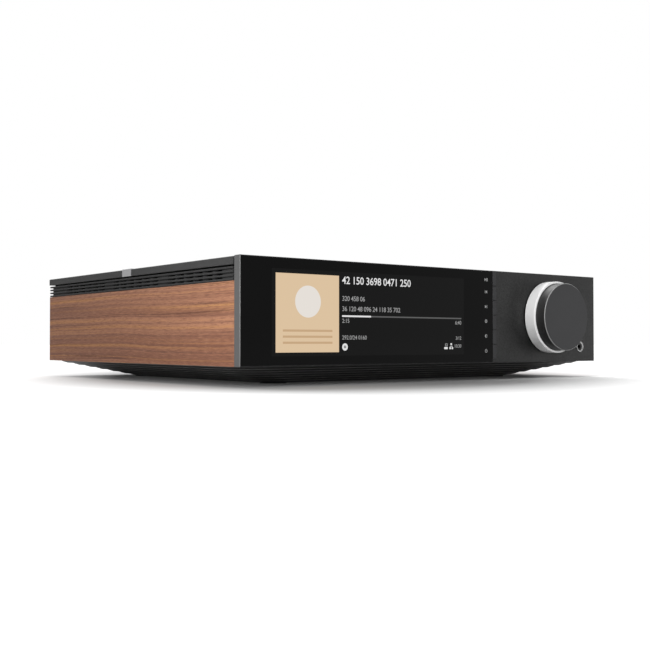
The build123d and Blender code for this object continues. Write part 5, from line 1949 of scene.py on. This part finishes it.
@dataclass
class RearPanel(Assembly):
    """The rear panel with its sockets, posts and mains fittings.

    Attributes:
        phono_first: The place of the first phono socket of the lower row.
        phono_step: From one phono socket to the next, across and up.
        phono_count: How many a row has.
        collar: The inner and outer radius of a phono socket's colour ring.
        collar_depth: Where a colour ring starts and ends.
        collar_edge: The size of its bevel.
        jack_mouth: The left, right, lower and upper edge of the network socket's mouth.
        jack_depth: Where that mouth starts and ends.
        lining: The thickness of its lining.
        notch: How far the notch for the plug's latch goes down.
        spring_pitch: From one of its springs to the next.
        rocker_place: The middle of the rocker.
        rocker_crest: How far up and how far out from that middle its two halves meet.
        rocker_lean: How far each half leans, in degrees.
        mark_away: How far the middle of a mark is from that crest.
        mark_ring: The inner and outer radius of the ring.
        mark_depth: Where the ring starts and ends, out from the rocker's middle.
    """

    phono_first: Flat = (34.14, 35.0)
    phono_step: Flat = (16.0, 18.0)
    phono_count: int = 3
    collar: Flat = (4.25, 5.35)
    collar_depth: Flat = (159.12, 159.6)
    collar_edge: float = 0.1
    jack_mouth: Edges = (104.94, 116.74, 27.8, 34.6)
    jack_depth: Flat = (147.2, 158.7)
    lining: float = 0.3
    notch: float = 1.2
    spring_pitch: float = 1.02
    rocker_place: Point = (-110.08, 157.0, 38.0)
    rocker_crest: Flat = (0.52, 2.954)
    rocker_lean: float = 20.0
    mark_away: float = 4.4
    mark_ring: Flat = (0.95, 1.3)
    mark_depth: Flat = (2.955, 3.0)

    def build(self) -> list[Piece]:
        """Dresses every part on the rear and adds the small fittings."""
        self.dress_parts()
        made = self.colour_rings() + [self.rocker_marks()]
        made += self.network_lining() + self.tongue_contacts()
        return made + [DrivenScrews("casing_screws", "black_screws", seed=40).build()]

    def colour_rings(self) -> list[Piece]:
        """Lays a white ring round each upper phono socket and a red one round each lower one.

        Returns:
            The rings of each row.
        """
        made = []
        near, far = self.collar
        front, back = self.collar_depth
        edge = self.collar_edge
        section = [(near, front), (far, front), (far, back - edge), (far - edge, back), (near, back)]
        for row, (name, finish) in enumerate((("red", Finishes.cap_red), ("white", Finishes.mark_white))):
            ring = lathe("ring", section, (0.0, 0.0, 0.0), 40)
            start = (self.phono_first[0], 0.0, self.phono_first[1] + row * self.phono_step[1])
            line = (self.phono_count, (self.phono_step[0], 0.0, 0.0))
            rings = Recipes.repeat("rings", ring, finish, start, line)
            made.append(piece("phono_rings_" + name, rings, "chassis", [finish]))
        return made

    def rocker_marks(self) -> Piece:
        """Prints a ring on the rocker's off side and a bar on its other side.

        Returns:
            Both marks as one piece.
        """
        x, y, z = self.rocker_place
        up, out = self.rocker_crest
        sin, cos = math.sin(math.radians(self.rocker_lean)), math.cos(math.radians(self.rocker_lean))
        near, far = self.mark_ring
        start, end = (y + depth for depth in self.mark_depth)
        upper = (x * MM, 0.0, (z + up + self.mark_away) * MM)
        ring = lathe("ring", [(near, start), (far, start), (far, end), (near, end)], upper, 32)

        def place(across: float, along: float, run: float) -> Point:
            """Lays a point on the rocker's leaning half."""
            down = self.mark_away + along
            return (x + across, y + out + down * sin + run * cos, z + up - down * cos + run * sin)

        bar = prism("bar", oblong(-0.18, 0.18, -1.3, 1.3, 0.08), 0.0, 0.05, place)
        name = "rocker_marks"
        return piece(name, join(name, [ring, bar]), "switch_rocker", [Finishes.mark_white])

    def network_lining(self) -> list[Piece]:
        """Lines the network socket's mouth and sets its eight spring contacts.

        Returns:
            The lining and the contacts.
        """
        left, right, low, high = self.jack_mouth
        start, end = self.jack_depth
        skin, foot, top = self.lining, low - self.notch, high - self.lining
        step_in, step_out = left + (right - left) / 4, right - (right - left) / 4
        walls = [(left, right, top, high), (left, left + skin, low, top), (right - skin, right, low, top)]
        walls += [(left, step_in, low, low + skin), (step_out, right, low, low + skin)]
        walls += [(step_in, step_out, foot, foot + skin), (step_in, step_in + skin, foot + skin, low)]
        walls.append((step_out - skin, step_out, foot + skin, low))
        sheets = [prism("sheet", oblong(*wall), start, end) for wall in walls]
        sheets.append(prism("sheet", oblong(left, right, foot, high), start - 0.1, start + skin))
        name = "network_lining"
        lining = piece(name, join(name, sheets), "chassis", [Finishes.moulded])
        side = [(0.0, 0.0), (7.5, -1.6), (7.6, -1.35), (0.1, 0.3)]
        spring = prism("spring", side, -0.22, 0.22, lambda deep, up, run: (run, -deep, up))
        pitch = self.spring_pitch
        first = ((left + right) / 2 - 3.5 * pitch, end - 1.6, top - 0.5)
        name = "network_contacts"
        springs = Recipes.repeat(name, spring, Finishes.gold, first, (8, (pitch, 0.0, 0.0)))
        return [lining, piece(name, springs, "chassis", [Finishes.gold])]

    def tongue_contacts(self) -> list[Piece]:
        """Sets the flat contacts on the tongues of the two thin sockets.

        Returns:
            The contacts of each socket.
        """
        made = []
        for node, count, pitch, wide in (("usb_socket", 4, 2.1, 1.1), ("hdmi_socket", 9, 1.0, 0.5)):
            low, high = (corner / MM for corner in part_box(node))
            section = oblong(-wide / 2, wide / 2, 0.0, 0.08)
            strip = prism("strip", section, high.y - 8.0, high.y - 1.6)
            first = (low.x + high.x) / 2 - (count - 1) / 2 * pitch
            start = (first, 0.0, (low.z + high.z) / 2 + 0.65)
            name = node.replace("socket", "contacts")
            strips = Recipes.repeat(name, strip, Finishes.gold, start, (count, (pitch, 0.0, 0.0)))
            made.append(piece(name, strips, "chassis", [Finishes.gold]))
        return made

    def dress_parts(self) -> None:
        """Gives every part on the rear its finish."""
        dress(Finishes.rear, "rear_panel")
        dress(Finishes.moulded, "mains_inlet", "mains_switch", "optical_socket")
        dress(Finishes.moulded, "phono_block", "phono_cores", "post_feet")
        dress(Finishes.brass, "inlet_blades")
        dress(Finishes.rocker, "switch_rocker")
        dress(Finishes.gold, "post_cores", "phono_barrels")
        dress(Finishes.steel, "usb_socket", "hdmi_socket", "lan_socket")
        for number in range(1, 5):
            dress(Finishes.gold, f"post_collar_{number}")
            dress(Finishes.cap_red if number % 2 == 0 else Finishes.cap_black, f"post_cap_{number}")


@dataclass
class Inside(Assembly):
    """The boards and the power supply."""

    def build(self) -> list[Piece]:
        """Dresses what is inside the casing."""
        dress(Finishes.board, "main_board", "amplifier_board", "power_supply")
        dress(Finishes.heatsink, "amplifier_heatsink")
        dress(Finishes.steel, "board_standoffs")
        dress(Finishes.cable, "display_cable")
        return []


class Lamp:
    """A lamp of the studio."""

    def __init__(
        self, name: str, kind: str, power: float, place: Point, target: Point, **settings: Union[float, str]
    ) -> None:
        """Keeps what the lamp is like.

        Args:
            name: The lamp's name.
            kind: Blender's name for its kind.
            power: Its power or strength.
            place: Where it hangs, in metres.
            target: What it looks at, in metres.
            **settings: Its size, spread and shape, by Blender's names.
        """
        self.name, self.kind = name, kind
        self.place, self.target = place, target
        self.settings = {"energy": power, **settings}

    def hang(self) -> None:
        """Hangs the lamp at its place and turns it to its target."""
        data = bpy.data.lights.new(self.name, self.kind)
        for setting, value in self.settings.items():
            setattr(data, setting, value)
        lamp = hang(self.name, data)
        lamp.location = self.place
        lamp.visible_camera = False
        way = Vector(self.target) - Vector(self.place)
        lamp.rotation_euler = way.to_track_quat("-Z", "Y").to_euler()


@dataclass
class Studio:
    """The pale floor, the soft light and the camera. Its own lengths are in metres.

    Attributes:
        camera_place: Where the camera stands.
        turn: How far it is turned to the right, in radians.
        tilt: How far it looks up, in radians.
        lens: Its focal length on a 36 mm sensor.
        ambient: The world's strength for diffuse light.
        lamps: A broad lamp behind, a low one at the left corner and a narrow one on the dial.
        floor_size: The radius of the floor.
        wide: What distance across the object's shade is counted with.
        deep: What distance along it is counted with.
        shade: Where the painted shadow under the object ends and the even floor starts.
        glow: Where what the floor adds of its own starts to rise and is full.
        lift: What the floor adds of its own under the object, where the camera sees it.
        far_lift: What it adds away from the object.
        under: How much of the floor's colour the painted shadow leaves under the object.
    """

    camera_place: Point = (-0.5413, -0.7025, 0.0304)
    turn: float = 0.6591
    tilt: float = 0.0179
    lens: float = 54.22
    ambient: float = 0.28
    lamps: tuple[Lamp, ...] = (
        Lamp("back", "SUN", 2.1, (0.1, 0.7, 0.7), (0.0, 0.0, 0.0), angle=math.radians(50)),
        Lamp("near", "AREA", 0.95, (-0.46, -0.32, 0.1), (-0.19, -0.1, 0.04), shape="DISK", size=0.2),
        Lamp(
            "dial", "SPOT", 20.0, (-0.45, -0.45, 0.5), (DIAL[0], -0.165, DIAL[2]), shadow_soft_size=0.06,
            spot_size=math.radians(13), spot_blend=1.0,
        ),
    )
    floor_size: float = 12.0
    wide: Point = (1.08, -0.84, 0.0)
    deep: Point = (0.61, 0.79, 0.0)
    shade: Flat = (0.2, 0.34)
    glow: Flat = (0.25, 0.37)
    lift: float = 0.02
    far_lift: float = 0.55
    under: float = 0.7

    def build(self) -> None:
        """Sets up the camera, the world, the lamps and the floor."""
        bpy.context.scene.view_settings.view_transform = "Standard"
        self.camera()
        self.world()
        for lamp in self.lamps:
            lamp.hang()
        self.floor()

    def camera(self) -> None:
        """Puts the camera at the photograph's place."""
        data = bpy.data.cameras.new("camera")
        data.lens, data.sensor_width = self.lens, 36.0
        data.clip_start, data.clip_end = 0.01, 50.0
        camera = hang("camera", data)
        camera.location = self.camera_place
        camera.rotation_euler = (math.pi / 2 + self.tilt, 0.0, -self.turn)
        bpy.context.scene.camera = camera

    def seen(self, graph: Graph) -> Socket:
        """Gives 1 for what the camera, a reflection or a glass sees."""
        path = graph.node("ShaderNodeLightPath").outputs
        both = graph.math("MAXIMUM", path["Is Camera Ray"], path["Is Glossy Ray"])
        return graph.math("MAXIMUM", both, path["Is Transmission Ray"])

    def world(self) -> None:
        """Gives a white surrounding that lights the object more softly than it shows."""
        world = bpy.data.worlds.new("studio")
        graph = Graph.of(world)
        strength = graph.span(self.seen(graph), 0.0, 1.0, self.ambient, 1.0)
        background = graph.node("ShaderNodeBackground", {"Color": WHITE, "Strength": strength})
        graph.node("ShaderNodeOutputWorld", {0: background.outputs[0]})
        bpy.context.scene.world = world

    def floor(self) -> None:
        """Lays a wide pale floor that keeps the object's shadow, and has a painted shadow under it."""
        build = bmesh.new()
        bmesh.ops.create_circle(build, cap_ends=True, segments=96, radius=self.floor_size)
        mesh = bpy.data.meshes.new("floor")
        build.to_mesh(mesh)
        build.free()
        mesh.materials.append(self.floor_material())
        floor = hang("floor", mesh)

    def floor_material(self) -> Material:
        """Makes a matt floor with a painted shadow under the object, lifted to white away from it.

        Returns:
            The floor's material.
        """
        material = bpy.data.materials.new("pale_floor")
        graph = Graph.of(material)
        place = graph.place()
        across = graph.vector("DOT_PRODUCT", place, self.wide)
        along = graph.vector("DOT_PRODUCT", place, self.deep)
        away = graph.vector("LENGTH", graph.joined(x=across, y=along))
        shade = graph.span(graph.noise(place, 3.0), 0.3, 0.7, 0.74, 0.76)
        # Painted shadow: the floor's colour is darkened down to under near the object.
        shade = graph.times(shade, graph.span(away, *self.shade, self.under, 1.0))
        matt = graph.node("ShaderNodeBsdfDiffuse", {"Color": graph.even(shade)})
        lift = graph.times(self.seen(graph), graph.span(away, *self.glow, self.lift, self.far_lift))
        glow = graph.node("ShaderNodeEmission", {"Color": WHITE, "Strength": lift})
        total = graph.node("ShaderNodeAddShader", {0: matt.outputs[0], 1: glow.outputs[0]})
        graph.node("ShaderNodeOutputMaterial", {"Surface": total.outputs[0]})
        return material


def main() -> None:
    """Builds the studio and every sub-assembly in order."""
    logging.basicConfig(level=logging.INFO, format="%(message)s")
    Studio().build()
    front = [FrontPlate(), Display(), KeyColumn(), Dial(), HeadphoneSocket()]
    for assembly in front + [Casing(), SteppedBase(), RearPanel(), Inside()]:
        made = assembly.build()
        log.info("%s: %s", type(assembly).__name__, ", ".join(part.name for part in made) or "dressed")


if __name__ == "__main__":
    main()
